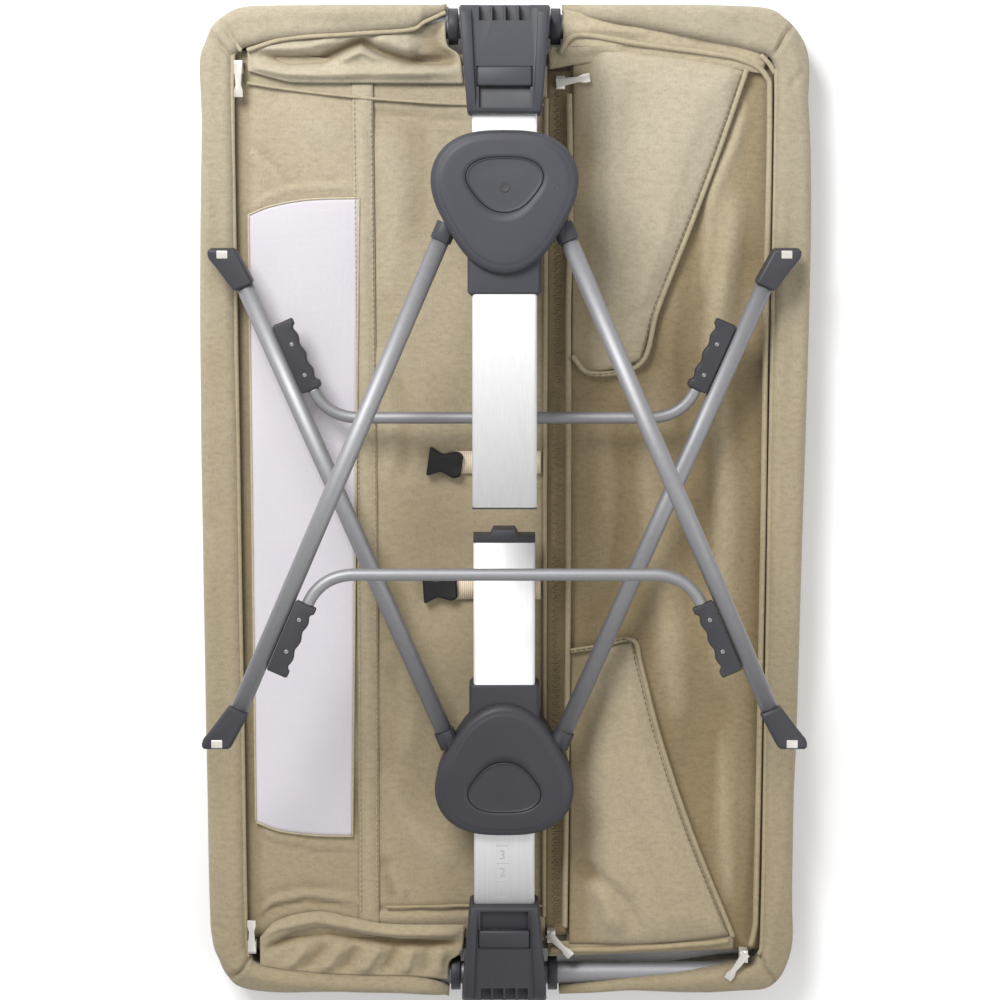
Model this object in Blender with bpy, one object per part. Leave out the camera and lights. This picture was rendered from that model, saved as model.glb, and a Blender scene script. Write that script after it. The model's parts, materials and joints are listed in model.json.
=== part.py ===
"""Bedside travel crib, folded flat and lying on its rim with the two leg stands on top.

Metres, +Z up. The origin is on the floor under the middle of the rim. +Y points to the head end.
Each stand is modelled in its own frame: its origin on the hinge axis, +Y along the column away
from the hinge, +Z away from the crib. An empty places that frame at its end of the crib.
"""
import math

import bpy
from mathutils import Matrix, Vector

GAP = 0.0003

# Crib rim
CRIB_LENGTH = 0.940
CRIB_WIDTH = 0.564
RIM_HEIGHT = 0.052
RIM_BAND = 0.036
RIM_CHAMFER = 0.030
FABRIC = 0.0025
HINGE_Y = 0.450
HINGE_Z = 0.030
COLLAR_OUTER = 0.051
COLLAR_WIDTH = 0.009
TUBE_RADIUS = 0.011
TUBE_WALL = 0.0015
SIDE_TUBE_X = 0.262
SIDE_HALF = 0.395
END_BEND = 0.030
NOTCH_HALF = 0.053

# Folded fabric, heights above the floor
MATTRESS_TOP = 0.030
BOARD_TOP = 0.0335
LAYER_BASE = 0.034
LAYER_LOW = 0.040
LAYER_TOP = 0.049

# Stands: distances along the column from the hinge axis
HUB_START = {"head": 0.0975, "foot": 0.1515}
PLANE_OFFSET = {"head": 0.096, "foot": 0.044}
STAND_TILT = {"head": math.radians(6.0), "foot": 0.0}
COLUMN_START = 0.034
COLUMN_END = 0.432
COLUMN_WIDTH = 0.057
COLUMN_DEPTH = 0.025
COLUMN_WALL = 0.0015
BRACKET_BACK = -0.0060
BRACKET_MOUTH = 0.087
BRACKET_HALF_WIDE = 0.040
BRACKET_HALF_NARROW = 0.0325
BRACKET_TOP = 0.0245
BUTTON_SPAN = (0.0465, 0.0635)
BUTTON_WIDTH = 0.048
HUB_CENTRE = 0.0610
HUB_RADIUS = 0.0622
HUB_LOBE = 0.0056
BUTTON_SCALE = (0.53, 0.39)
BUTTON_SHIFT = 0.0112
HUB_LOW = -0.020
HUB_SPLIT = 0.0145
HUB_TOP = 0.0255
COLLAR_END = 0.148
COLLAR_HALF = 0.0325
LEG_WIDTH = 0.016
LEG_DEPTH = 0.014
LEG_TOP = (0.055, 0.096)
LEG_ANKLE = (0.236, 0.515)
SLEEVE_LENGTH = 0.016
SOLE = 0.550
TOE = 0.269
CLAMP_SPAN = (0.414, 0.476)
CLAMP_WIDTH = 0.0195
CLAMP_DEPTH = 0.012
CLAMP_LIP = 0.0022
GROOVE_DEPTH = 0.0010
BAR_LINE = 0.395
BAR_RADIUS = 0.0055
BAR_STRAIGHT = 0.132

COLOURS = {
    "fabric": ((0.52, 0.46, 0.33), 0.9, 0.0),
    "mesh": ((0.72, 0.69, 0.74), 0.8, 0.0),
    "pad": ((0.80, 0.78, 0.74), 0.9, 0.0),
    "board": ((0.30, 0.24, 0.17), 0.7, 0.0),
    "plastic": ((0.09, 0.09, 0.10), 0.45, 0.0),
    "black": ((0.02, 0.02, 0.02), 0.4, 0.0),
    "column": ((0.86, 0.86, 0.87), 0.3, 0.9),
    "tube": ((0.55, 0.55, 0.57), 0.35, 0.9),
    "white_metal": ((0.85, 0.84, 0.82), 0.3, 0.5),
}


def material(name):
    """Principled material shared by every sub-part of the same stuff."""
    found = bpy.data.materials.get(name)
    if found:
        return found
    colour, roughness, metallic = COLOURS[name]
    made = bpy.data.materials.new(name)
    made.use_nodes = True
    shader = made.node_tree.nodes["Principled BSDF"]
    shader.inputs["Base Color"].default_value = (*colour, 1.0)
    shader.inputs["Roughness"].default_value = roughness
    shader.inputs["Metallic"].default_value = metallic
    made.diffuse_color = (*colour, 1.0)
    return made


def add_mesh(name, points, faces, stuff=None, parent=None):
    """New object from points and faces, under an optional parent empty."""
    mesh = bpy.data.meshes.new(name)
    mesh.from_pydata([tuple(p) for p in points], [], faces)
    mesh.validate()
    made = bpy.data.objects.new(name, mesh)
    bpy.context.scene.collection.objects.link(made)
    if stuff:
        mesh.materials.append(material(stuff))
    made.parent = parent
    return made


def prism_data(outline, low, high, axis="Z"):
    """Points and faces of a counter-clockwise outline extruded from low to high along an axis."""
    count = len(outline)
    if axis == "Z":
        points = [(a, b, low) for a, b in outline] + [(a, b, high) for a, b in outline]
    elif axis == "X":
        points = [(low, a, b) for a, b in outline] + [(high, a, b) for a, b in outline]
    else:
        points = [(b, low, a) for a, b in outline] + [(b, high, a) for a, b in outline]
    faces = [list(range(count))[::-1], list(range(count, 2 * count))]
    for i in range(count):
        j = (i + 1) % count
        faces.append([i, j, count + j, count + i])
    return points, faces


def prism(name, outline, low, high, stuff=None, parent=None, axis="Z"):
    points, faces = prism_data(outline, low, high, axis)
    return add_mesh(name, points, faces, stuff, parent)


def box(name, low, high, stuff=None, parent=None):
    outline = [(low[0], low[1]), (high[0], low[1]), (high[0], high[1]), (low[0], high[1])]
    return prism(name, outline, low[2], high[2], stuff, parent)


def group(name, solids, stuff, parent=None):
    """Several separate solids of one kind in one object."""
    points = []
    faces = []
    for part_points, part_faces in solids:
        start = len(points)
        points += part_points
        faces += [[start + i for i in face] for face in part_faces]
    return add_mesh(name, points, faces, stuff, parent)


def circle(radius, count, centre=(0.0, 0.0)):
    angles = [2 * math.pi * i / count for i in range(count)]
    return [(centre[0] + radius * math.cos(a), centre[1] + radius * math.sin(a)) for a in angles]


def rounded_box_outline(width, depth, radius, steps=3):
    """Counter-clockwise rounded rectangle about the origin."""
    outline = []
    corners = ((1, 1, 0), (-1, 1, 90), (-1, -1, 180), (1, -1, 270))
    for sx, sy, start in corners:
        for i in range(steps + 1):
            a = math.radians(start + 90 * i / steps)
            x = sx * (width / 2 - radius) + radius * math.cos(a)
            y = sy * (depth / 2 - radius) + radius * math.sin(a)
            outline.append((x, y))
    return outline


def pipe_data(outer, inner, length):
    """Open pipe along +Y from 0 to length; outlines are (across, up)."""
    count = len(outer)
    rings = []
    for outline in (outer, inner):
        for y in (0.0, length):
            rings.append([(a, y, b) for a, b in outline])
    points = [p for ring in rings for p in ring]
    faces = []
    for i in range(count):
        j = (i + 1) % count
        faces.append([i, count + i, count + j, j])
        faces.append([2 * count + i, 2 * count + j, 3 * count + j, 3 * count + i])
        faces.append([i, j, 2 * count + j, 2 * count + i])
        faces.append([count + i, 3 * count + i, 3 * count + j, count + j])
    return points, faces


def placed(data, start, direction):
    """Turn data that runs along +Y so that it starts at start and runs along direction in XY."""
    angle = math.atan2(direction[1], direction[0]) - math.pi / 2
    turn = Matrix.Translation(Vector(start)) @ Matrix.Rotation(angle, 4, "Z")
    return [tuple(turn @ Vector(p)) for p in data[0]], data[1]


def bevel(target, width, segments=2, angle=30):
    modifier = target.modifiers.new("Bevel", "BEVEL")
    modifier.width = width
    modifier.segments = segments
    modifier.limit_method = "ANGLE"
    modifier.angle_limit = math.radians(angle)
    return modifier


def combine(target, cutter, operation="DIFFERENCE"):
    """Boolean with the EXACT solver; the cutter becomes a hidden guide."""
    cutter.hide_render = True
    cutter.display_type = "WIRE"
    modifier = target.modifiers.new(operation.title(), "BOOLEAN")
    modifier.operation = operation
    modifier.object = cutter
    modifier.solver = "EXACT"


def smooth(target, angle=35):
    target.data.shade_smooth()
    target.data.set_sharp_from_angle(angle=math.radians(angle))


def leg_line():
    """Start, unit direction and length of the right leg in its stand's plane, from the hub start."""
    start = Vector(LEG_TOP)
    end = Vector(LEG_ANKLE)
    return start, (end - start).normalized(), (end - start).length


def mirrored(outline, side):
    """Outline on the +X side, or its mirror image on the other side, kept counter-clockwise."""
    if side > 0:
        return outline
    return [(-x, y) for x, y in outline][::-1]


# ---------------------------------------------------------------- crib


def tube_curve(name, path, radius, stuff, sides, parent=None):
    """Round bar along a path of points, with filled ends."""
    curve = bpy.data.curves.new(name, "CURVE")
    curve.dimensions = "3D"
    curve.bevel_depth = radius
    curve.bevel_resolution = (sides - 4) // 2
    curve.use_fill_caps = True
    spline = curve.splines.new("POLY")
    spline.points.add(len(path) - 1)
    for point, place in zip(spline.points, path):
        point.co = (*place, 1.0)
    curve.materials.append(material(stuff))
    made = bpy.data.objects.new(name, curve)
    bpy.context.scene.collection.objects.link(made)
    made.parent = parent
    return made


def end_tube_path(sign):
    """U-shaped path of an end tube: along one corner, across the end, and back at the other."""
    corner_x = SIDE_TUBE_X - END_BEND
    corner_y = HINGE_Y - END_BEND
    quarter = []
    for i in range(7):
        a = math.radians(90 * i / 6)
        quarter.append((corner_x + END_BEND * math.cos(a), corner_y + END_BEND * math.sin(a)))
    right = [(SIDE_TUBE_X, SIDE_HALF + GAP)] + quarter
    left = [(-x, y) for x, y in right[::-1]]
    return [(x, sign * y, HINGE_Z) for x, y in right + left]


def build_rim_frame():
    """Straight side tubes, bent end tubes, and the collars that centre each stand."""
    ring = circle(TUBE_RADIUS, 12)
    bore = circle(TUBE_RADIUS - TUBE_WALL, 12)
    for side, x in (("left", -SIDE_TUBE_X), ("right", SIDE_TUBE_X)):
        data = placed(pipe_data(ring, bore, 2 * SIDE_HALF), (x, -SIDE_HALF, HINGE_Z), (0, 1))
        smooth(add_mesh("side_tube_" + side, *data, "tube"))
    collar = pipe_data(circle(0.0165, 20), circle(TUBE_RADIUS + GAP, 20), COLLAR_WIDTH)
    for end, sign in (("head", 1), ("foot", -1)):
        tube = tube_curve("end_tube_" + end, end_tube_path(sign), TUBE_RADIUS, "tube", 12)
        tube.data.use_fill_caps = False
        wall = tube.modifiers.new("Wall", "SOLIDIFY")
        wall.thickness = TUBE_WALL
        for side, x in (("left", -COLLAR_OUTER), ("right", COLLAR_OUTER - COLLAR_WIDTH)):
            data = placed(collar, (x + COLLAR_WIDTH, sign * HINGE_Y, HINGE_Z), (-1, 0))
            smooth(add_mesh("hinge_collar_" + end + "_" + side, *data, "plastic"))


def cover_profile(inner, outer):
    """C-shaped section of a rim cover, open towards the tube: (across, up), counter-clockwise."""
    wall = outer - FABRIC
    return [
        (inner, 0.0), (outer, 0.0), (outer, RIM_HEIGHT), (inner, RIM_HEIGHT),
        (inner, RIM_HEIGHT - FABRIC), (wall, RIM_HEIGHT - FABRIC), (wall, FABRIC), (inner, FABRIC),
    ]


def build_rim_covers():
    """Fabric sleeves round the rim; the end sleeves stop at each side of the stand's bracket."""
    half_width = CRIB_WIDTH / 2
    half_length = CRIB_LENGTH / 2
    profile = cover_profile(half_width - RIM_BAND, half_width)
    points, faces = prism_data([(z, x) for x, z in profile][::-1], -half_length, half_length, "Y")
    slope = RIM_CHAMFER / RIM_BAND
    shaped = []
    for x, y, z in points:
        cut_back = slope * (x - (half_width - RIM_BAND))
        shaped.append((x, math.copysign(half_length - cut_back, y), z))
    add_mesh("rim_cover_right", shaped, faces, "fabric")
    turned = [(-x, -y, z) for x, y, z in shaped]
    add_mesh("rim_cover_left", turned, faces, "fabric")
    end_profile = cover_profile(half_length - RIM_BAND, half_length)
    limit = half_width - RIM_BAND - GAP
    for end, sy in (("head", 1), ("foot", -1)):
        outline = [(sy * y, z) for y, z in end_profile]
        if sy < 0:
            outline.reverse()
        prism("rim_cover_" + end + "_right", outline, NOTCH_HALF, limit, "fabric", axis="X")
        prism("rim_cover_" + end + "_left", outline, -limit, -NOTCH_HALF, "fabric", axis="X")


def window_outline():
    """Mesh window of the left side wall: its ends are bowed and it leans a little across the wall."""
    low_left, low_right = (-0.2362, -0.2960), (-0.1445, -0.3100)
    top_left, top_right = (-0.2345, 0.2800), (-0.1330, 0.2955)
    outline = []
    steps = 6
    for (x0, y0), (x1, y1) in ((low_left, low_right), (top_right, top_left)):
        rise = math.sin if x1 > x0 else lambda angle: 1 - math.cos(angle)
        for i in range(steps + 1):
            t = i / steps
            outline.append((x0 + (x1 - x0) * t, y0 + (y1 - y0) * rise(t * math.pi / 2)))
    return outline


def build_fabric():
    """Mattress, base board and the collapsed walls that lie folded on it."""
    inside = CRIB_WIDTH / 2 - RIM_BAND - 0.0025
    bed_x, bed_y = 0.240, 0.425
    box("mattress_pad", (-bed_x, -bed_y, 0.003), (bed_x, bed_y, MATTRESS_TOP), "pad")
    box("base_board", (-bed_x, -bed_y, MATTRESS_TOP + GAP), (bed_x, bed_y, BOARD_TOP), "board")
    wall_top = LAYER_LOW + 0.001
    box("base_panel", (-0.125, -0.412, LAYER_BASE), (0.038, 0.415, wall_top), "fabric")
    box("side_wall_left", (-inside, -bed_y, LAYER_BASE), (-0.1255, bed_y, wall_top), "fabric")
    box("side_wall_right", (0.0625, -bed_y, LAYER_BASE), (inside, bed_y, LAYER_LOW), "fabric")
    prism("mesh_window", window_outline(), wall_top + GAP, wall_top + 0.002, "mesh")
    box("zip_tape_centre", (0.0385, -0.410, LAYER_BASE), (0.0620, 0.410, 0.038), "fabric")
    head_flap = [(0.0625, 0.152), (0.0995, 0.1325), (0.2240, 0.387), (0.2240, 0.402)]
    head_flap += [(0.092, 0.424), (0.0625, 0.412)]
    foot_flap = [(0.0625, -0.417), (0.2205, -0.4085), (0.120, -0.1215), (0.0625, -0.130)]
    flap_base, flap_top = LAYER_LOW + GAP, 0.0475
    prism("end_flap_head", head_flap, flap_base, flap_top, "fabric")
    prism("end_flap_foot", foot_flap, flap_base, flap_top, "fabric")
    for end, sy in (("head", 1), ("foot", -1)):
        lows, highs = sorted((sy * 0.376, sy * 0.4325))
        box("end_panel_" + end, (-0.2300, lows, wall_top + GAP), (-0.050, highs, LAYER_TOP), "fabric")


def slider_data(y, x, body_base, tab_base, tab_angle):
    """Zip slider: a small body under a flat pull tab that points along tab_angle."""
    body = box_data((x - 0.004, y - 0.006, body_base), (x + 0.004, y + 0.006, tab_base + 0.001))
    tab = [(-0.004, -0.004), (0.016, -0.0025), (0.021, -0.004), (0.027, -0.004)]
    tab += [(0.027, 0.004), (0.021, 0.004), (0.016, 0.0025), (-0.004, 0.004)]
    turn = Matrix.Rotation(tab_angle, 2)
    outline = [tuple(turn @ Vector(p) + Vector((x, y))) for p in tab]
    return body, prism_data(outline, tab_base, tab_base + 0.0022)


def box_data(low, high):
    outline = [(low[0], low[1]), (high[0], low[1]), (high[0], high[1]), (low[0], high[1])]
    return prism_data(outline, low[2], high[2])


def build_zip_sliders():
    """Sliders on the three long zips, each parked near a corner."""
    rows = {
        "left_head": (0.414, -0.2413, 0.0415, 0.0500, -90),
        "left_foot": (-0.418, -0.2413, 0.0415, 0.0500, 90),
        "centre_head": (0.400, 0.0510, 0.0383, 0.0480, 10),
        "centre_foot": (-0.408, 0.0450, 0.0383, 0.0480, -45),
        "right_foot": (-0.4265, 0.2290, 0.0403, 0.0525, -125),
    }
    for place, (y, x, body_base, tab_base, tab_angle) in rows.items():
        body, tab = slider_data(y, x, body_base, tab_base, math.radians(tab_angle))
        slider = add_mesh("zip_slider_" + place, *body, "white_metal")
        combine(slider, add_mesh("zip_tab_" + place, *tab), "UNION")


def build_belts():
    """Side-release buckles, for strapping the folded crib."""
    base, top = LAYER_LOW + 0.0013, 0.0520
    for end, (x, y, angle) in {"head": (-0.055, 0.050, -8), "foot": (-0.060, -0.068, 4)}.items():
        half = [(-0.016, -0.014), (-0.003, -0.008), (0.010, -0.013), (0.016, -0.010)]
        outline = half + [(a, -b) for a, b in half[::-1]]
        turn = Matrix.Rotation(math.radians(angle), 2)
        outline = [tuple(turn @ Vector(p) + Vector((x, y))) for p in outline]
        bevel(prism("buckle_" + end, outline, base, top, "black"), 0.0015, 1)


# ---------------------------------------------------------------- stands


def hub_outline(centre, grow=0.0, steps=48):
    """Rounded triangle: a circle with three soft lobes, one of them pointing along the column."""
    outline = []
    for i in range(steps):
        a = 2 * math.pi * i / steps
        radius = HUB_RADIUS + grow - HUB_LOBE * math.sin(3 * a)
        outline.append((radius * math.cos(a), centre + radius * math.sin(a)))
    return outline


def build_bracket(name, plane, base):
    """Folding bracket: a knuckle on the end tube that rises to a socket for the column."""
    back = BRACKET_BACK
    side = [
        (-0.015, -0.006), (-0.006, -0.015), (0.006, -0.015), (0.015, -0.006),
        (0.030, plane - 0.0165), (BRACKET_MOUTH, plane - 0.0165),
        (BRACKET_MOUTH, plane + 0.019), (0.070, plane + BRACKET_TOP),
        (back + 0.006, plane + BRACKET_TOP), (back - 0.001, plane + 0.017),
    ]
    points, faces = prism_data(side, -1.0, 1.0, "X")
    shaped = []
    for x, y, z in points:
        along = (y - back) / (BRACKET_MOUTH - back)
        half = BRACKET_HALF_WIDE + (BRACKET_HALF_NARROW - BRACKET_HALF_WIDE) * along
        shaped.append((x * half, y, z))
    bracket = add_mesh(name + "_bracket", shaped, faces, "plastic", base)
    bevel(bracket, 0.002, 1, 40)
    bore_shape = prism_data(circle(TUBE_RADIUS + GAP, 20), -0.06, 0.06, "X")
    combine(bracket, add_mesh(name + "_cut_bore", *bore_shape, parent=base))
    half_w, half_d = COLUMN_WIDTH / 2 + GAP, COLUMN_DEPTH / 2 + GAP
    socket = box(name + "_cut_socket", (-half_w, COLUMN_START - GAP, plane - half_d),
                 (half_w, 0.1, plane + half_d), parent=base)
    combine(bracket, socket)
    top = plane + BRACKET_TOP
    recess = [(-0.0305, -0.03), (0.0305, -0.03)]
    recess += [(0.0245, BRACKET_MOUTH + 0.01), (-0.0245, BRACKET_MOUTH + 0.01)]
    combine(bracket, prism(name + "_cut_recess", recess, top - 0.004, top + 0.01, parent=base))
    lower = box(name + "_cut_lower", (-0.0225, BUTTON_SPAN[1] - 0.002, top - 0.0085),
                (0.0225, BRACKET_MOUTH - 0.005, top + 0.01), parent=base)
    combine(bracket, lower)
    half_button = BUTTON_WIDTH / 2 + GAP
    window = box(name + "_cut_window", (-half_button, BUTTON_SPAN[0] - GAP, plane + 0.010),
                 (half_button, BUTTON_SPAN[1] + GAP, top + 0.01), parent=base)
    combine(bracket, window)
    slots = []
    for x in (-0.0174, -0.0058, 0.0058, 0.0174):
        slots.append(box_data((x - 0.0048, -0.04, top - 0.012), (x + 0.0048, 0.0067, top + 0.01)))
    combine(bracket, group(name + "_cut_comb", slots, None, base))
    button = box(name + "_fold_button", (-BUTTON_WIDTH / 2, BUTTON_SPAN[0], plane + 0.0163),
                 (BUTTON_WIDTH / 2, BUTTON_SPAN[1], plane + 0.0228), "plastic", base)
    bevel(button, 0.0018)


def build_column(name, plane, base):
    """Rectangular column tube and the plug that closes its free end."""
    outer = rounded_box_outline(COLUMN_WIDTH, COLUMN_DEPTH, 0.004)
    inner = rounded_box_outline(COLUMN_WIDTH - 2 * COLUMN_WALL, COLUMN_DEPTH - 2 * COLUMN_WALL, 0.0025)
    end = COLUMN_END
    data = placed(pipe_data(outer, inner, end - COLUMN_START), (0, COLUMN_START, plane), (0, 1))
    smooth(add_mesh(name + "_column", *data, "column", base))
    half_w, half_d = COLUMN_WIDTH / 2, COLUMN_DEPTH / 2
    wall = COLUMN_WALL + 2 * GAP
    lip = 0.006 if name == "foot" else 0.0015
    bung = rounded_box_outline(COLUMN_WIDTH - 2 * wall, COLUMN_DEPTH - 2 * wall, 0.0025)
    data = placed(pipe_plug(bung, 0.018), (0, end - 0.017, plane), (0, 1))
    plug = add_mesh(name + "_column_plug", *data, "plastic", base)
    flange = [(-half_w, end + GAP), (half_w, end + GAP), (half_w, end + lip)]
    if name == "foot":
        flange += [(0.013, end + lip), (0.010, end + lip + 0.006)]
        flange += [(-0.010, end + lip + 0.006), (-0.013, end + lip)]
    flange += [(-half_w, end + lip)]
    cap = prism(name + "_cap_flange", flange, plane - half_d + GAP, plane + half_d - GAP, parent=base)
    combine(plug, cap, "UNION")


def leg_cutter(name, plane, base, side, grow):
    """Guide along one leg, grow wider than the leg all round."""
    start, direction, length = leg_line()
    outline = rounded_box_outline(LEG_WIDTH + 2 * grow, LEG_DEPTH + 2 * grow, 0.0065)
    data = pipe_plug(outline, length)
    origin = (side * start.x, HUB_START[name] + start.y, plane)
    return placed(data, origin, (side * direction.x, direction.y))


def pipe_plug(outline, length):
    """Solid bar along +Y from 0 to length; the outline is (across, up)."""
    count = len(outline)
    points = [(a, 0.0, b) for a, b in outline] + [(a, length, b) for a, b in outline]
    faces = [list(range(count)), list(range(count, 2 * count))[::-1]]
    for i in range(count):
        j = (i + 1) % count
        faces.append([i, count + i, count + j, j])
    return points, faces


def build_hub(name, plane, base):
    """Hub that slides on the column: shell with collar and leg sleeves, cover and height button."""
    start = HUB_START[name]
    centre = start + HUB_CENTRE
    low, split, top = plane + HUB_LOW, plane + HUB_SPLIT, plane + HUB_TOP
    shell = prism(name + "_hub_shell", hub_outline(centre), low, split, "plastic", base)
    collar = box(name + "_collar_block", (-COLLAR_HALF, start + 0.100, plane - 0.0165),
                 (COLLAR_HALF, start + COLLAR_END, split), parent=base)
    bevel(collar, 0.003, 1)
    combine(shell, collar, "UNION")
    leg_start, direction, _ = leg_line()
    sleeve_outline = rounded_box_outline(LEG_WIDTH + 0.003, LEG_DEPTH + 0.003, 0.007)
    for side in (1, -1):
        back = leg_start - 0.012 * direction
        origin = (side * back.x, start + back.y, plane)
        data = placed(pipe_plug(sleeve_outline, SLEEVE_LENGTH), origin, (side * direction.x, direction.y))
        block = add_mesh(name + "_sleeve_block_" + ("r" if side > 0 else "l"), *data, parent=base)
        combine(shell, block, "UNION")
    half_w, half_d = COLUMN_WIDTH / 2 + GAP, COLUMN_DEPTH / 2 + GAP
    channel = box(name + "_cut_channel", (-half_w, start - 0.05, plane - half_d),
                  (half_w, start + 0.25, plane + half_d), parent=base)
    combine(shell, channel)
    for side in (1, -1):
        data = leg_cutter(name, plane, base, side, GAP)
        combine(shell, add_mesh(name + "_cut_leg_" + ("r" if side > 0 else "l"), *data, parent=base))
    cover = prism(name + "_hub_cover", hub_outline(centre, 0.001), split + GAP, top, "plastic", base)
    bevel(cover, 0.004, 2)
    pocket = button_outline(centre, GAP)
    combine(cover, prism(name + "_cut_pocket", pocket, plane + 0.0188, top + 0.01, parent=base))
    button_base = plane + 0.0225
    button = prism(name + "_height_button", button_outline(centre), button_base, top + 0.0015, "plastic", base)
    bevel(button, 0.0015, 2)


def button_outline(centre, grow=0.0):
    """Height button: the hub's own shape made small and squat, nearer the hinge than the hub's middle."""
    across, along = BUTTON_SCALE
    middle = centre - BUTTON_SHIFT
    return [(x * across, middle + (y - centre) * along) for x, y in hub_outline(centre, grow / along, 30)]


def build_legs(name, plane, base):
    """Two splayed legs with their feet, joined by a crossbar held in grooved clamps."""
    start = HUB_START[name]
    leg_start, direction, length = leg_line()
    outer = rounded_box_outline(LEG_WIDTH, LEG_DEPTH, 0.0065)
    inner = rounded_box_outline(LEG_WIDTH - 0.003, LEG_DEPTH - 0.003, 0.005)
    across = Vector((direction.y, -direction.x))
    for side, word in ((-1, "left"), (1, "right")):
        origin = (side * leg_start.x, start + leg_start.y, plane)
        data = placed(pipe_data(outer, inner, length), origin, (side * direction.x, direction.y))
        smooth(add_mesh(name + "_leg_" + word, *data, "tube", base))
    heel = leg_start + direction * (length + GAP)
    for side, word in ((1, "right"), (-1, "left")):
        foot = [heel + across * 0.0098, Vector((TOE - 0.0085, SOLE - 0.018)), Vector((TOE, SOLE - 0.0075))]
        foot += [Vector((TOE, SOLE)), Vector((TOE - 0.025, SOLE)), heel - across * 0.0095]
        outline = mirrored([(p.x, start + p.y) for p in foot], side)
        shoe = prism(name + "_shoe_" + word, outline, plane - 0.010, plane + 0.010, "plastic", base)
        bevel(shoe, 0.002, 1)
        data = clamp_data(start, plane, side, leg_start, direction, across)
        bevel(add_mesh(name + "_clamp_" + word, *data, "plastic", base), 0.0012, 1, 50)
    build_crossbar(name, plane, base)


def clamp_data(start, plane, side, leg_start, direction, across):
    """Clamp block on the inner side of a leg, with finger grooves along its inner edge."""
    inner_face = LEG_WIDTH / 2 + GAP
    first = (CLAMP_SPAN[0] - leg_start.y) / direction.y
    last = (CLAMP_SPAN[1] - leg_start.y) / direction.y
    outline = [leg_start + direction * first - across * inner_face]
    outline.append(leg_start + direction * last - across * inner_face)
    steps = 24
    for i in range(steps + 1):
        t = 1 - i / steps
        wave = GROOVE_DEPTH * math.cos(8 * math.pi * t) if 0.1 < t < 0.9 else CLAMP_LIP
        depth = inner_face + CLAMP_WIDTH - CLAMP_LIP + wave
        outline.append(leg_start + direction * (first + (last - first) * t) - across * depth)
    shape = mirrored([(p.x, start + p.y) for p in outline], side)
    return prism_data(shape, plane - CLAMP_DEPTH / 2, plane + CLAMP_DEPTH / 2)


def build_crossbar(name, plane, base):
    """Round bar between the clamps; its ends turn to run along the legs."""
    start = HUB_START[name]
    leg_start, direction, _ = leg_line()
    across = Vector((direction.y, -direction.x))
    reach = (CLAMP_SPAN[0] - leg_start.y) / direction.y
    tip = leg_start + direction * (reach - 0.0005) - across * (LEG_WIDTH / 2 + CLAMP_WIDTH / 2 + 0.001)
    knee = Vector((BAR_STRAIGHT, BAR_LINE))
    pull = 0.026
    steps = 8
    right = []
    for i in range(steps + 1):
        t = i / steps
        a, b = knee, knee + Vector((pull, 0))
        c, d = tip - direction * pull * 0.5, tip
        point = a * (1 - t) ** 3 + b * 3 * t * (1 - t) ** 2 + c * 3 * t * t * (1 - t) + d * t ** 3
        right.append(point)
    path = [(-p.x, start + p.y, plane) for p in right[::-1]] + [(p.x, start + p.y, plane) for p in right]
    tube_curve(name + "_crossbar", path, BAR_RADIUS, "tube", 8, base)


def build_stand(name, end_sign):
    """One leg stand, on an empty whose origin lies on the hinge axis."""
    base = bpy.data.objects.new(name + "_stand_frame", None)
    bpy.context.scene.collection.objects.link(base)
    base.location = (0.0, end_sign * HINGE_Y, HINGE_Z)
    base.rotation_euler = (STAND_TILT[name], 0.0, math.pi if end_sign > 0 else 0.0)
    plane = PLANE_OFFSET[name]
    build_bracket(name, plane, base)
    build_column(name, plane, base)
    build_hub(name, plane, base)
    build_legs(name, plane, base)


def clear_scene():
    for item in list(bpy.data.objects):
        bpy.data.objects.remove(item, do_unlink=True)


clear_scene()
build_rim_frame()
build_rim_covers()
build_fabric()
build_zip_sliders()
build_belts()
build_stand("head", 1)
build_stand("foot", -1)
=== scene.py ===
"""Looks of a bedside travel crib, folded flat and lying on its rim under its two leg stands.

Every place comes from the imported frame: +X to the plain side wall, +Y to the head end, +Z up.
Fabric pieces are Coons patches with folds raised by small height functions; the stands' hard
parts are the frame's own nodes, rounded by modifiers, or finer lofts built in each stand's frame.
"""
import json
import math

import bpy
import numpy as np
from mathutils import Matrix, Vector
from mathutils.bvhtree import BVHTree


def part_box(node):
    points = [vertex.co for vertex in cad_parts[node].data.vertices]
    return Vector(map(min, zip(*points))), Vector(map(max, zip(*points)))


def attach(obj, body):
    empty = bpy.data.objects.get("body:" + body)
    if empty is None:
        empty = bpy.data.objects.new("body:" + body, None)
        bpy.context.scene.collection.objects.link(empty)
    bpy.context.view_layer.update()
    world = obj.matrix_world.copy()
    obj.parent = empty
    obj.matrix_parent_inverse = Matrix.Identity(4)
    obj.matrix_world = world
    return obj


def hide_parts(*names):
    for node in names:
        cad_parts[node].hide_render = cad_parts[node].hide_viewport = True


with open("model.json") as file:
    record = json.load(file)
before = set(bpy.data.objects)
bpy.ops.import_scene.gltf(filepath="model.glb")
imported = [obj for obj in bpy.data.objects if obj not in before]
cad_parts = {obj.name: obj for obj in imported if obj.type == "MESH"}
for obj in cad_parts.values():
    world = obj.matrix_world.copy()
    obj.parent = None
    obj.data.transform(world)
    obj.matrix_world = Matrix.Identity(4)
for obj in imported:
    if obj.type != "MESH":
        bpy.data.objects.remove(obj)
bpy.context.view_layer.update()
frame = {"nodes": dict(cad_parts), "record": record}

JOINTS = {joint["name"]: joint for joint in frame["record"]["behaviour"]["joints"]}
CRIB = "crib"

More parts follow.
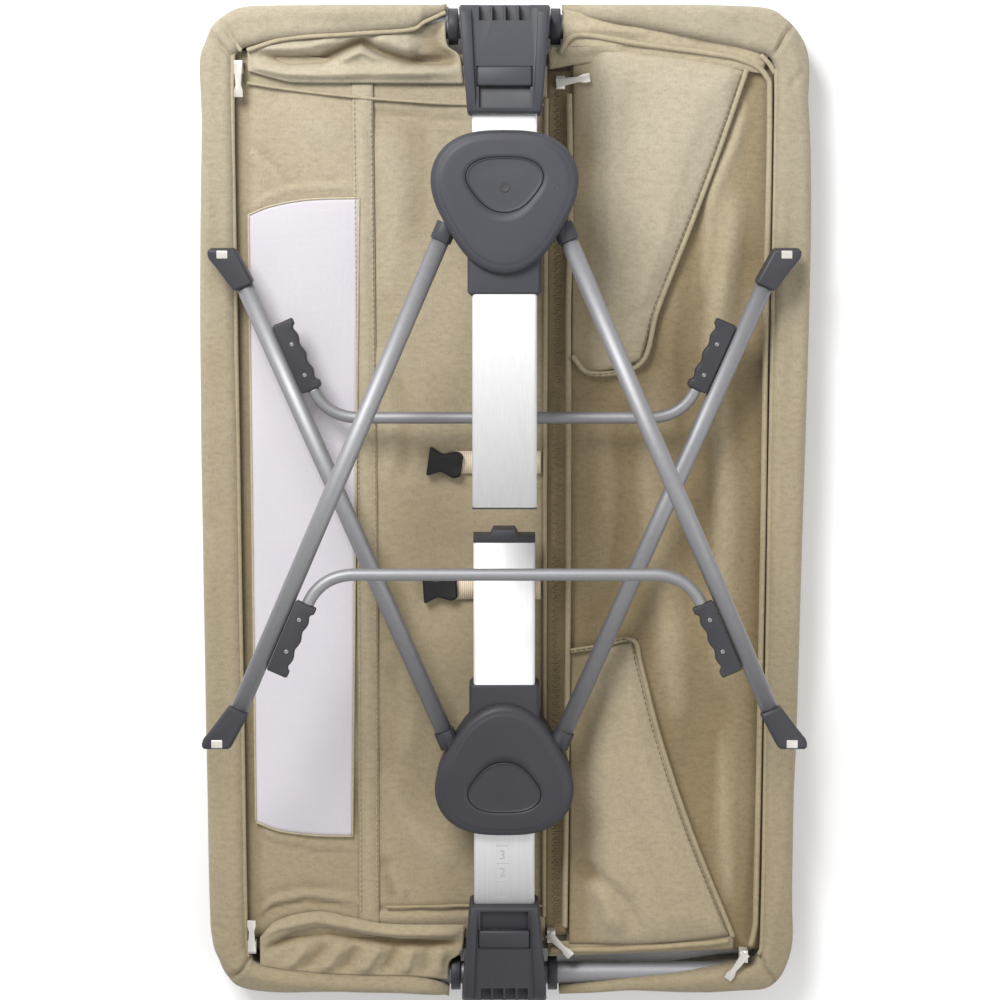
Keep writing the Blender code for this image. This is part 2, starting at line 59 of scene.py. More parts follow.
# Levels and edges of the crib, from the frame
RIM_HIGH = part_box("rim_cover_right")[1]
HALF_LENGTH = RIM_HIGH.y
RIM_TOP = RIM_HIGH.z
WALL_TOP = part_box("side_wall_left")[1].z
LOW_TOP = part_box("side_wall_right")[1].z
END_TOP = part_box("end_panel_head")[1].z
WINDOW_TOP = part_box("mesh_window")[1].z
CENTRE_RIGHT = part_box("base_panel")[1].x
SEAM_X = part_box("side_wall_left")[1].x
TAPE_LOW, TAPE_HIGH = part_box("zip_tape_centre")
CLOTH = 0.0012


# ---------------------------------------------------------------- materials


class Nodes:
    """Short way to write a node tree."""

    def __init__(self, name, colour, roughness, metallic=0.0, **sockets):
        self.material = bpy.data.materials.new(name)
        self.material.use_nodes = True
        self.tree = self.material.node_tree
        self.shader = self.tree.nodes["Principled BSDF"]
        self.shader.inputs["Base Color"].default_value = (*colour, 1)
        self.shader.inputs["Roughness"].default_value = roughness
        self.shader.inputs["Metallic"].default_value = metallic
        for key, value in sockets.items():
            self.shader.inputs[key.replace("_", " ")].default_value = value
        self.place = self.add("ShaderNodeTexCoord").outputs["Object"]

    def add(self, kind, **settings):
        node = self.tree.nodes.new(kind)
        for key, value in settings.items():
            setattr(node, key, value)
        return node

    def link(self, output, target):
        self.tree.links.new(output, target)

    def noise(self, scale, detail=3.0, stretch=(1, 1, 1)):
        spread = self.add("ShaderNodeMapping")
        spread.inputs["Scale"].default_value = stretch
        self.link(self.place, spread.inputs["Vector"])
        node = self.add("ShaderNodeTexNoise")
        node.inputs["Scale"].default_value = scale
        node.inputs["Detail"].default_value = detail
        self.link(spread.outputs["Vector"], node.inputs["Vector"])
        return node.outputs["Fac"]

    def wave(self, scale, direction, turn=0.0, distortion=0.0):
        spread = self.add("ShaderNodeMapping")
        spread.inputs["Rotation"].default_value = (0, 0, turn)
        self.link(self.place, spread.inputs["Vector"])
        node = self.add("ShaderNodeTexWave", bands_direction=direction)
        node.inputs["Scale"].default_value = scale
        node.inputs["Distortion"].default_value = distortion
        node.inputs["Detail"].default_value = 1.0
        self.link(spread.outputs["Vector"], node.inputs["Vector"])
        return node.outputs["Fac"]

    def maths(self, operation, a, b):
        node = self.add("ShaderNodeMath", operation=operation)
        for socket, value in zip(node.inputs, (a, b)):
            if isinstance(value, float):
                socket.default_value = value
            else:
                self.link(value, socket)
        return node.outputs["Value"]

    def ramp(self, factor, stops):
        node = self.add("ShaderNodeValToRGB")
        node.color_ramp.elements[0].position = stops[0][0]
        node.color_ramp.elements[1].position = stops[-1][0]
        for position, _ in stops[1:-1]:
            node.color_ramp.elements.new(position)
        for element, (_, colour) in zip(node.color_ramp.elements, stops):
            element.color = (*colour, 1)
        self.link(factor, node.inputs["Fac"])
        return node.outputs["Color"]

    def mix(self, factor, a, b, blend="MIX"):
        node = self.add("ShaderNodeMix", data_type="RGBA", blend_type=blend)
        if isinstance(factor, float):
            node.inputs["Factor"].default_value = factor
        else:
            self.link(factor, node.inputs["Factor"])
        self.link(a, node.inputs[6])
        self.link(b, node.inputs[7])
        return node.outputs[2]

    def bump(self, height, strength, distance, before=None):
        node = self.add("ShaderNodeBump")
        node.inputs["Strength"].default_value = strength
        node.inputs["Distance"].default_value = distance
        self.link(height, node.inputs["Height"])
        if before:
            self.link(before, node.inputs["Normal"])
        self.link(node.outputs["Normal"], self.shader.inputs["Normal"])
        return node.outputs["Normal"]

    def colour(self, output):
        self.link(output, self.shader.inputs["Base Color"])


def fabric_material(name, light, dark, thread=1.0, floor=None):
    """Melange plain weave with flecked yarn; shade painted in towards the level floor, light painted in to
    the head end.
    """
    n = Nodes(name, light, 0.92, Sheen_Weight=0.25, Sheen_Roughness=0.5, Specular_IOR_Level=0.2)
    warp = n.wave(260.0 * thread, "X", 0.0, 1.2)
    weft = n.wave(260.0 * thread, "Y", 0.0, 1.2)
    weave = n.maths("MAXIMUM", warp, weft)
    fleck = n.noise(900.0, 2.0, (1.0, 0.6, 1.0))
    slub = n.noise(260.0, 3.0, (0.6, 1.0, 1.0))
    broad = n.noise(9.0, 3.0)
    yarn = n.maths("ADD", n.maths("MULTIPLY", fleck, 0.5), n.maths("MULTIPLY", slub, 0.5))
    flecked = n.ramp(yarn, [(0.3, dark), (0.52, light), (0.72, tuple(min(1.0, c * 1.12) for c in light))])
    dyed = n.ramp(broad, [(0.3, (0.9, 0.89, 0.86)), (0.7, (1.0, 1.0, 1.0))])
    threads = n.ramp(weave, [(0.0, (0.86, 0.86, 0.85)), (0.9, (1.0, 1.0, 1.0))])
    dusty = n.mix(1.0, n.mix(1.0, flecked, dyed, "MULTIPLY"), threads, "MULTIPLY")
    # Painted shade: the colour darkens towards the low level, as if creases and hollows lay in shadow.
    height = n.add("ShaderNodeMapRange")
    height.inputs["From Min"].default_value = floor or LOW_TOP - 0.004
    height.inputs["From Max"].default_value = END_TOP + 0.003
    split = n.add("ShaderNodeSeparateXYZ")
    n.link(n.place, split.inputs["Vector"])
    n.link(split.outputs["Z"], height.inputs["Value"])
    painted_hollow_shade = n.ramp(height.outputs["Result"], [(0.0, (0.66, 0.61, 0.52)), (0.3, (0.94, 0.92, 0.89)),
                                               (0.55, (1.0, 1.0, 1.0))])
    # Painted light: the colour lightens towards the head end, as if more light fell there.
    along = n.add("ShaderNodeMapRange")
    along.inputs["From Min"].default_value = -HALF_LENGTH
    along.inputs["From Max"].default_value = HALF_LENGTH
    n.link(split.outputs["Y"], along.inputs["Value"])
    painted_light_gradient = n.ramp(along.outputs["Result"], [(0.0, (0.84, 0.8, 0.71)), (0.5, (0.88, 0.85, 0.78)),
                                             (1.0, (0.98, 0.99, 1.0))])
    n.colour(n.mix(1.0, n.mix(1.0, dusty, painted_hollow_shade, "MULTIPLY"), painted_light_gradient, "MULTIPLY"))
    slow = n.bump(n.noise(45.0, 4.0), 0.35, 0.0012)
    n.bump(weave, 0.5, 0.0003, slow)
    return n.material


def mesh_material():
    """Knitted ventilation mesh: staggered tiny holes over a pale lining."""
    n = Nodes("ventilation_mesh", (0.64, 0.6, 0.65), 0.75, Sheen_Weight=0.2, Specular_IOR_Level=0.25)
    across = n.wave(210.0, "X", math.radians(45))
    along = n.wave(210.0, "Y", math.radians(45))
    holes = n.maths("MULTIPLY", across, along)
    shade = n.ramp(holes, [(0.0, (0.58, 0.55, 0.58)), (0.55, (0.54, 0.51, 0.54)), (0.95, (0.45, 0.42, 0.45))])
    broad = n.ramp(n.noise(7.0, 2.0), [(0.3, (0.93, 0.92, 0.95)), (0.7, (1.0, 1.0, 1.0))])
    n.colour(n.mix(1.0, shade, broad, "MULTIPLY"))
    n.bump(holes, 0.4, 0.0004)
    return n.material


def plastic_material(name, colour, roughness=0.42):
    """Moulded plastic with a fine spark texture and slight handling polish."""
    n = Nodes(name, colour, roughness, Specular_IOR_Level=0.35)
    dull, bright = (tuple(c * share for c in colour) for share in (0.88, 1.08))
    tone = n.ramp(n.noise(14.0, 4.0), [(0.3, dull), (0.7, bright)])
    grain = n.noise(1500.0, 2.0)
    speck = n.ramp(grain, [(0.35, (0.9, 0.9, 0.9)), (0.65, (1.0, 1.0, 1.0))])
    n.colour(n.mix(1.0, tone, speck, "MULTIPLY"))
    worn = n.add("ShaderNodeMapRange")
    worn.inputs["To Min"].default_value = roughness - 0.06
    worn.inputs["To Max"].default_value = roughness + 0.08
    n.link(n.noise(30.0, 4.0), worn.inputs["Value"])
    n.link(worn.outputs["Result"], n.shader.inputs["Roughness"])
    n.bump(grain, 0.25, 0.0002)
    return n.material


def metal_material(name, colour, roughness, metallic, brush=(1, 1, 1), strength=0.12):
    """Metal with fine drawing lines along one direction and faint smudges."""
    n = Nodes(name, colour, roughness, metallic)
    lines = n.noise(700.0, 3.0, brush)
    tone = n.ramp(lines, [(0.3, tuple(c * 0.93 for c in colour)), (0.7, colour)])
    n.colour(tone)
    smudge = n.add("ShaderNodeMapRange")
    smudge.inputs["To Min"].default_value = roughness - 0.05
    smudge.inputs["To Max"].default_value = roughness + 0.07
    n.link(n.noise(18.0, 4.0), smudge.inputs["Value"])
    n.link(smudge.outputs["Result"], n.shader.inputs["Roughness"])
    n.bump(lines, strength, 0.0002)
    return n.material


def webbing_material():
    """Ribbed belt webbing."""
    n = Nodes("webbing", (0.72, 0.6, 0.45), 0.85, Sheen_Weight=0.2)
    rib = n.wave(160.0, "X", 0.0, 0.4)
    n.colour(n.ramp(rib, [(0.1, (0.56, 0.45, 0.32)), (0.9, (0.8, 0.68, 0.52))]))
    n.bump(rib, 0.6, 0.0005)
    return n.material


def board_material():
    n = Nodes("board_lining", (0.16, 0.13, 0.09), 0.9)
    n.colour(n.ramp(n.noise(120.0, 4.0), [(0.3, (0.12, 0.1, 0.07)), (0.7, (0.18, 0.15, 0.1))]))
    n.bump(n.noise(400.0), 0.3, 0.0003)
    return n.material


CLOTH_LIGHT, CLOTH_DARK = (0.44, 0.388, 0.292), (0.36, 0.312, 0.226)
FABRIC = fabric_material("crib_fabric", CLOTH_LIGHT, CLOTH_DARK)
RIM_FABRIC = fabric_material("rim_fabric", (0.38, 0.332, 0.244), (0.305, 0.262, 0.185))
# Darker copy of the crib fabric: painted shade on the low right wall and the corner fold by the head flap;
# also on the zip.
FABRIC_PAINTED_SHADE = fabric_material("crib_fabric_painted_shade", (0.43, 0.37, 0.262), (0.34, 0.288, 0.198), 1.0,
                              LOW_TOP - 0.0026)
# Copies of the crib fabric whose painted shade is darkest at the end folds' and the flaps' own low level.
FOLD_FABRIC = fabric_material("fold_fabric", CLOTH_LIGHT, CLOTH_DARK, 1.0, LOW_TOP - 0.0005)
FLAP_FABRIC = fabric_material("flap_fabric", CLOTH_LIGHT, CLOTH_DARK, 1.0, LOW_TOP + 0.0012)
PIPING = fabric_material("piping_fabric", (0.42, 0.36, 0.25), (0.34, 0.288, 0.195), 1.6)
PAD_FABRIC = fabric_material("pad_fabric", (0.76, 0.74, 0.7), (0.66, 0.64, 0.6), 1.3)
MESH = mesh_material()
PLASTIC = plastic_material("frame_plastic", (0.043, 0.044, 0.053), 0.52)
PLASTIC_DARK = plastic_material("frame_plastic_dark", (0.038, 0.038, 0.045), 0.5)
BLACK = plastic_material("buckle_plastic", (0.012, 0.012, 0.013), 0.3)
COLUMN = metal_material("column_metal", (0.77, 0.77, 0.77), 0.5, 0.2, (1, 0.02, 1), 0.05)
TUBE = metal_material("tube_metal", (0.28, 0.28, 0.292), 0.52, 0.6, (0.3, 0.3, 1), 0.08)
ZIP_METAL = metal_material("zip_metal", (0.6, 0.58, 0.53), 0.36, 0.35)
THREAD = fabric_material("stitch_thread", (0.56, 0.5, 0.37), (0.46, 0.4, 0.29), 2.5)
SEAM_THREAD = fabric_material("seam_thread", (0.2, 0.17, 0.11), (0.14, 0.115, 0.075), 2.5)
WEBBING = webbing_material()
BOARD = board_material()


# ---------------------------------------------------------------- mesh helpers


def new_piece(name, points, faces, material, body=CRIB, slot=None, smooth=True):
    mesh = bpy.data.meshes.new(name)
    mesh.from_pydata([tuple(map(float, p)) for p in points], [], [tuple(map(int, f)) for f in faces])
    mesh.validate()
    mesh.materials.append(material)
    piece = bpy.data.objects.new(name, mesh)
    bpy.context.scene.collection.objects.link(piece)
    if smooth:
        mesh.shade_smooth()
    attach(piece, body)
    return piece


def grid_faces(rows, columns, close_columns=False):
    faces = []
    for i in range(rows - 1):
        for j in range(columns - (0 if close_columns else 1)):
            k = (j + 1) % columns
            a, b = i * columns + j, i * columns + k
            faces.append((a, b, b + columns, a + columns))
    return faces


def smooth_line(points, count):
    """count points on a Catmull-Rom curve through the given points, evenly spread."""
    p = np.array(points, float)
    ends = np.vstack([2 * p[0] - p[1], p, 2 * p[-1] - p[-2]])
    dense = []
    for i in range(len(p) - 1):
        a, b, c, d = ends[i:i + 4]
        for t in np.linspace(0, 1, 24, endpoint=i == len(p) - 2):
            dense.append(0.5 * (2 * b + (c - a) * t + (2 * a - 5 * b + 4 * c - d) * t ** 2
                                + (3 * b - a - 3 * c + d) * t ** 3))
    dense = np.array(dense)
    run = np.concatenate([[0], np.cumsum(np.linalg.norm(np.diff(dense, axis=0), axis=1))])
    even = np.linspace(0, run[-1], count)
    return np.stack([np.interp(even, run, dense[:, k]) for k in range(p.shape[1])], 1)


def coons(bottom, top, left, right, step=0.004):
    """Grid of XY points between four edges: bottom and top run +X, left and right run +Y."""
    across = int(max(np.ptp(np.array(bottom)[:, 0]), np.ptp(np.array(top)[:, 0])) / step) + 2
    along = int(max(np.ptp(np.array(left)[:, 1]), np.ptp(np.array(right)[:, 1])) / step) + 2
    b, t = smooth_line(bottom, across), smooth_line(top, across)
    l, r = smooth_line(left, along), smooth_line(right, along)
    u = np.linspace(0, 1, across)[None, :, None]
    v = np.linspace(0, 1, along)[:, None, None]
    grid = (1 - v) * b[None] + v * t[None] + (1 - u) * l[:, None] + u * r[:, None]
    corner = (1 - u) * (1 - v) * b[0] + u * (1 - v) * b[-1] + (1 - u) * v * t[0] + u * v * t[-1]
    return grid - corner, u[..., 0] + 0 * v[..., 0], v[..., 0] + 0 * u[..., 0]


def raised(xy, height):
    """Line in plan, lifted to one height."""
    return np.column_stack([xy, np.full(len(xy), height)])


def four_sides(low_left, low_right, top_left, top_right):
    """Four straight edges of a patch."""
    return [low_left, low_right], [top_left, top_right], [low_left, top_left], [low_right, top_right]


def undulate(x, y, seed, amount, wavelength, stretch=(1.0, 1.0)):
    """Soft deterministic undulation from a few crossed waves."""
    random = np.random.default_rng(seed)
    total = np.zeros_like(x)
    for _ in range(7):
        turn = random.uniform(0, math.pi)
        size = wavelength * random.uniform(0.6, 1.8)
        phase = random.uniform(0, 2 * math.pi)
        run = x * math.cos(turn) * stretch[0] + y * math.sin(turn) * stretch[1]
        total += np.sin(2 * math.pi * run / size + phase)
    return amount * total / 7 * 1.6


def fold(x, y, line, width, height):
    """Rounded fold along a polyline, fading out at both ends; a negative height is a crease."""
    best = np.full(x.shape, 1e9)
    share = np.zeros(x.shape)
    line = np.array(line, float)
    lengths = np.linalg.norm(np.diff(line, axis=0), axis=1)
    total = lengths.sum()
    run = 0.0
    for a, b, length in zip(line[:-1], line[1:], lengths):
        d = (b - a) / length
        t = np.clip((x - a[0]) * d[0] + (y - a[1]) * d[1], 0, length)
        gap = np.hypot(x - a[0] - t * d[0], y - a[1] - t * d[1])
        near = gap < best
        best = np.where(near, gap, best)
        share = np.where(near, (run + t) / total, share)
        run += length
    fade = np.clip(np.minimum(share, 1 - share) / 0.18, 0, 1) ** 0.6
    return height * fade * np.exp(-(best / width) ** 2)


def folds(z, x, y, creases):
    """Heights z with every fold of a list of (line, width, height) added in turn."""
    for line, width, height in creases:
        z = z + fold(x, y, line, width, height)
    return z


def cloth_piece(name, edges, level, shape, material, slot, edge_roll=0.0015, step=0.004):
    """Closed cloth sheet over a Coons patch; shape(x, y, u, v) gives height above level."""
    grid, u, v = coons(*edges, step=step)
    x, y = grid[..., 0], grid[..., 1]
    rim = np.minimum(np.minimum(u, 1 - u) * np.ptp(x), np.minimum(v, 1 - v) * np.ptp(y))
    z = level + shape(x, y, u, v) * np.clip(rim / 0.01, 0.15, 1) + edge_roll * np.exp(-(rim / 0.004) ** 2)
    piece = new_piece(name, *slab(x, y, z, z - CLOTH), material, CRIB, slot)
    return piece


def tube_data(path, radius, sides=10, flat=1.0):
    """Points and faces of a closed round tube along a path."""
    path = np.array(path, float)
    ahead = np.gradient(path, axis=0)
    ahead /= np.linalg.norm(ahead, axis=1)[:, None]
    side = np.cross(ahead, (0, 0, 1.0))
    side /= np.linalg.norm(side, axis=1)[:, None]
    up = np.cross(side, ahead)
    angles = 2 * math.pi * np.arange(sides) / sides
    ring = side[:, None] * np.cos(angles)[None, :, None] + flat * up[:, None] * np.sin(angles)[None, :, None]
    points = (path[:, None] + radius * ring).reshape(-1, 3)
    faces = grid_faces(len(path), sides, True)
    last = (len(path) - 1) * sides
    return points, faces + [tuple(range(sides))[::-1], tuple(range(last, last + sides))]


def joined(parts):
    points, faces = [], []
    start = 0
    for p, f in parts:
        points.append(np.array(p, float))
        faces += [tuple(start + k for k in face) for face in f]
        start += len(p)
    return np.vstack(points), faces


def stitch_data(path, length=0.0032, gap=0.0018, radius=0.00035):
    """Row of short raised stitches along a path."""
    path = np.array(path, float)
    run = np.concatenate([[0], np.cumsum(np.linalg.norm(np.diff(path, axis=0), axis=1))])
    parts = []
    place = gap
    while place + length < run[-1]:
        stops = place + length * np.array([0.0, 0.3, 0.7, 1.0])
        line = np.stack([np.interp(stops, run, path[:, k]) for k in range(3)], 1)
        line[:, 2] += radius * np.array([-0.5, 0.8, 0.8, -0.5])
        parts.append(tube_data(line, radius, 5))
        place += length + gap
    return joined(parts)


# ---------------------------------------------------------------- rim

# Pairs of outer and inner edge points of the padded rim sleeve, from the head bracket to the foot one
RIM_RIGHT = [
    ((0.053, 0.4697), (0.053, 0.462)), ((0.085, 0.4697), (0.083, 0.456)), ((0.14, 0.4697), (0.142, 0.4455)),
    ((0.2, 0.469), (0.201, 0.434)), ((0.238, 0.4665), (0.23, 0.427)), ((0.254, 0.458), (0.24, 0.423)),
    ((0.264, 0.445), (0.245, 0.415)), ((0.272, 0.418), (0.2463, 0.4)), ((0.2785, 0.36), (0.2466, 0.355)),
    ((0.2815, 0.26), (0.2467, 0.26)), ((0.2805, 0.12), (0.2467, 0.12)), ((0.278, -0.07), (0.2467, -0.07)),
    ((0.2765, -0.216), (0.2467, -0.216)), ((0.272, -0.34), (0.2467, -0.34)),
    ((0.269, -0.37), (0.2467, -0.37)), ((0.2665, -0.405), (0.2465, -0.4)),
    ((0.262, -0.433), (0.2455, -0.42)), ((0.256, -0.448), (0.243, -0.431)),
    ((0.243, -0.4545), (0.236, -0.437)), ((0.21, -0.4575), (0.208, -0.44)),
    ((0.16, -0.462), (0.16, -0.447)), ((0.113, -0.465), (0.113, -0.453)),
    ((0.053, -0.469), (0.053, -0.461)),
]
RIM_LEFT = [
    ((-0.053, 0.4697), (-0.053, 0.462)), ((-0.072, 0.4697), (-0.072, 0.4545)),
    ((-0.087, 0.4697), (-0.087, 0.447)),
    ((-0.144, 0.4697), (-0.144, 0.443)), ((-0.1985, 0.4692), (-0.1985, 0.4385)),
    ((-0.235, 0.468), (-0.227, 0.433)), ((-0.252, 0.4615), (-0.24, 0.429)),
    ((-0.263, 0.45), (-0.2463, 0.42)), ((-0.269, 0.433), (-0.2466, 0.408)),
    ((-0.2735, 0.412), (-0.2467, 0.395)), ((-0.277, 0.33), (-0.2467, 0.33)),
    ((-0.2805, 0.2), (-0.2467, 0.2)), ((-0.2818, 0.015), (-0.2467, 0.015)),
    ((-0.2818, -0.2), (-0.2467, -0.2)), ((-0.2818, -0.367), (-0.2467, -0.367)),
    ((-0.28, -0.41), (-0.2466, -0.402)), ((-0.274, -0.43), (-0.2466, -0.418)),
    ((-0.262, -0.444), (-0.243, -0.429)), ((-0.245, -0.454), (-0.236, -0.437)),
    ((-0.21, -0.46), (-0.205, -0.443)), ((-0.1527, -0.464), (-0.1527, -0.4475)),
    ((-0.09, -0.466), (-0.09, -0.449)), ((-0.064, -0.468), (-0.064, -0.454)),
    ((-0.053, -0.469), (-0.053, -0.461)),
]
MITRES = [
    [(0.244, 0.424), (0.252, 0.44), (0.264, 0.456)],
    [(-0.238, 0.427), (-0.248, 0.443), (-0.258, 0.46)],
    [(-0.245, 0.419), (-0.257, 0.434), (-0.269, 0.446)],
    [(0.244, -0.425), (0.25, -0.44), (0.26, -0.452)],
    [(-0.242, -0.427), (-0.251, -0.44), (-0.264, -0.45)],
]
RIM_CREASES = [
    ([(0.18, 0.468), (0.21, 0.45), (0.222, 0.434)], 0.004, -0.0014),
    ([(-0.215, 0.467), (-0.18, 0.455), (-0.12, 0.449)], 0.01, -0.002),
    ([(-0.276, 0.35), (-0.262, 0.3), (-0.264, 0.2)], 0.007, -0.0014),
    ([(0.262, 0.33), (0.268, 0.2), (0.262, 0.08)], 0.008, -0.0014),
    ([(-0.268, -0.05), (-0.262, -0.18), (-0.27, -0.3)], 0.009, -0.0013),
    ([(0.256, -0.1), (0.26, -0.25), (0.256, -0.38)], 0.008, -0.0014),
    ([(0.27, 0.41), (0.258, 0.395)], 0.003, -0.0016),
    ([(-0.279, -0.395), (-0.262, -0.402)], 0.003, -0.0014),
]


def rim_section(width, height):
    """Rounded section of the padded sleeve: distance outward from the inner edge, and height."""
    corner = min(0.01, 0.48 * width)
    outline = []
    for cx, cz, start in ((width - corner, corner, 270), (width - corner, height - corner, 0),
                          (corner, height - corner, 90), (corner, corner, 180)):
        if start == 90:
            for t in np.linspace(0, 1, 12)[1:-1]:
                outline.append((width - corner + (2 * corner - width) * t, height))
        for i in range(8):
            angle = math.radians(start + 90 * i / 7)
            outline.append((cx + corner * math.cos(angle), cz + corner * math.sin(angle)))
    return outline


def tube_reach(rows):
    """How far outward from the inner edge the frame tubes reach on each row, with a little cover."""
    points, faces = [], []
    for node in ("side_tube_left", "side_tube_right", "end_tube_head", "end_tube_foot"):
        mesh = frame["nodes"][node].data
        start = len(points)
        points += [v.co.copy() for v in mesh.vertices]
        faces += [[start + k for k in face.vertices] for face in mesh.polygons]
    tubes = BVHTree.FromPolygons(points, faces)
    reach = []
    for ox, oy, ix, iy in rows:
        outward = Vector((ox - ix, oy - iy, 0.0)).normalized()
        hit = tubes.ray_cast(Vector((ix, iy, 0.03)) + outward * 0.08, -outward, 0.08)
        reach.append(0.08 - hit[3] + 0.002 if hit[0] else 0.0)
    wide = np.array(reach)
    wide = np.max([np.roll(wide, k) for k in range(-5, 6)], 0)
    return np.convolve(np.pad(wide, 5, "edge"), np.ones(11) / 11, "valid")


def build_rim(pairs, word, seed):
    """Padded sleeve of one half of the rim, with mitre seams and soft creases."""
    joined_edges = np.array([(*outer, *inner) for outer, inner in pairs])
    dense = smooth_line(joined_edges, 520)
    rows = []
    for (ox, oy, ix, iy), reach in zip(dense, tube_reach(dense)):
        width = math.hypot(ox - ix, oy - iy)
        dx, dy = (ox - ix) / width, (oy - iy) / width
        low_corner = 0.0035 * math.exp(-((ix - 0.222) ** 2 + (iy + 0.438) ** 2) / 0.0009)
        top = min(RIM_TOP + 0.0018, 0.03 + 1.4 * width) - low_corner
        extra = max(0.0, reach - width)
        section = []
        for a, z in rim_section(width, top):
            bulge = min(1.0, max(0.0, (RIM_TOP - z) / 0.006), max(0.0, z / 0.008)) if a > 0.6 * width else 0.0
            section.append((a + extra * bulge, z))
        rows.append([(ix + dx * a, iy + dy * a, z) for a, z in section])
    points = np.array(rows)
    x, y, z = points[..., 0], points[..., 1], points[..., 2]
    lift = undulate(x, y, seed, 0.0016, 0.09)
    for line in MITRES:
        lift += fold(x, y, line, 0.002, -0.006) + fold(x, y, line, 0.006, 0.0014)
    for line, size, height in RIM_CREASES:
        lift += fold(x, y, line, size, height)
    points[..., 2] = np.clip(z + np.where(z > 0.03, lift, 0), 0.0003, RIM_TOP + 0.0045)
    sides = points.shape[1]
    count = len(rows)
    faces = grid_faces(count, sides, True)
    last = (count - 1) * sides
    faces += [tuple(range(sides))[::-1], tuple(range(last, last + sides))]
    if pairs is RIM_RIGHT:
        faces = [face[::-1] for face in faces]
    piece = new_piece("rim_sleeve_" + word, points.reshape(-1, 3), faces, RIM_FABRIC, CRIB, "crib_fabric")
    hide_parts("rim_cover_" + word, "rim_cover_head_" + word, "rim_cover_foot_" + word)


# ---------------------------------------------------------------- folded basket


def build_left_wall():
    """Left wall panel with its long mesh window and the hems round it."""
    left, right = -0.2462, SEAM_X + 0.001

    def shape(x, y, u, v):
        z = undulate(x, y, 3, 0.001, 0.12)
        z = folds(z, x, y, [
            ([(-0.2314, 0.3462), (-0.2098, 0.3244), (-0.1954, 0.3062)], 0.0022, -0.0026),
            ([(-0.2354, 0.342), (-0.2138, 0.3204), (-0.1994, 0.3022)], 0.004, 0.0022),
            ([(-0.237, 0.285), (-0.2138, 0.299), (-0.1936, 0.305), (-0.13, 0.307)], 0.0032, 0.0022),
            ([(-0.237, 0.29), (-0.2138, 0.304), (-0.1936, 0.31), (-0.13, 0.312)], 0.0018, -0.0018),
            ([(-0.238, -0.299), (-0.2222, -0.311), (-0.1785, -0.32), (-0.134, -0.322)], 0.0032, 0.0022),
            ([(-0.238, -0.304), (-0.2222, -0.316), (-0.1785, -0.325), (-0.134, -0.327)], 0.0018, -0.0018),
            ([(-0.2398, -0.39), (-0.2225, -0.3745), (-0.1899, -0.3672), (-0.15, -0.372), (-0.134, -0.378)],
              0.004, 0.0038),
            ([(-0.2398, -0.396), (-0.2225, -0.3805), (-0.1899, -0.374), (-0.15, -0.379)], 0.0026, -0.0036),
            ([(-0.2398, -0.383), (-0.2225, -0.368), (-0.1899, -0.36), (-0.15, -0.365)], 0.0026, -0.0024),
            ([(-0.205, 0.385), (-0.18, 0.36), (-0.15, 0.35)], 0.014, 0.0014),
        ])
        lane = np.clip((x + 0.2365) / 0.008, 0, 1)
        return np.where(z > 0, z * lane, z) + 0.003 * lane

    edges = ([(left, -0.412), (right, -0.412)], [(left, 0.43), (right, 0.418)],
             [(left, -0.412), (left, 0.43)], [(right, -0.412), (right, 0.418)])
    wall = cloth_piece("wall_left_cloth", edges, WALL_TOP - 0.003, shape, FABRIC, "crib_fabric",
                       0.0)
    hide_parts("side_wall_left")

    def flat(x, y, u, v):
        return 0.0004 + undulate(x, y, 8, 0.0004, 0.2, (1.4, 0.5))

    low_left, low_right = (-0.2362, -0.296), (-0.1445, -0.31)
    top_left, top_right = (-0.2345, 0.28), (-0.133, 0.2955)
    bottom = [low_left, (-0.214, -0.3045), (-0.18, -0.309), low_right]
    top = [top_left, (-0.214, 0.288), (-0.18, 0.294), top_right]
    edges = (bottom, top, [low_left, top_left], [low_right, top_right])
    window = cloth_piece("mesh_window_net", edges, WINDOW_TOP + 0.0008, flat, MESH, "mesh",
                         0.0)
    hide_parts("mesh_window")
    runs = []
    for line in (bottom, top, [low_left, top_left], [low_right, top_right]):
        xy = smooth_line(line, 160)
        runs.append(tube_data(raised(xy, WINDOW_TOP + 0.0011), 0.0009, 8))
    new_piece("mesh_window_binding", *joined(runs), THREAD, CRIB, "crib_fabric")


def build_seam_strip():
    """Felled seam band between the left wall and the centre panel."""
    left, right = SEAM_X - 0.0135, SEAM_X + 0.006

    def shape(x, y, u, v):
        return 0.001 + 0.0012 * np.sin(np.pi * u) ** 0.6 + 0.0005 * np.sin(y * 60)

    edges = ([(left, -0.398), (right, -0.398)], [(left, 0.4), (right, 0.4)],
             [(left, -0.398), (left + 0.001, 0.0), (left, 0.4)],
             [(right, -0.398), (right + 0.001, 0.0), (right, 0.4)])
    cloth_piece("seam_strip", edges, WALL_TOP + 0.0014, shape, FABRIC, "crib_fabric",
                0.0, 0.003)


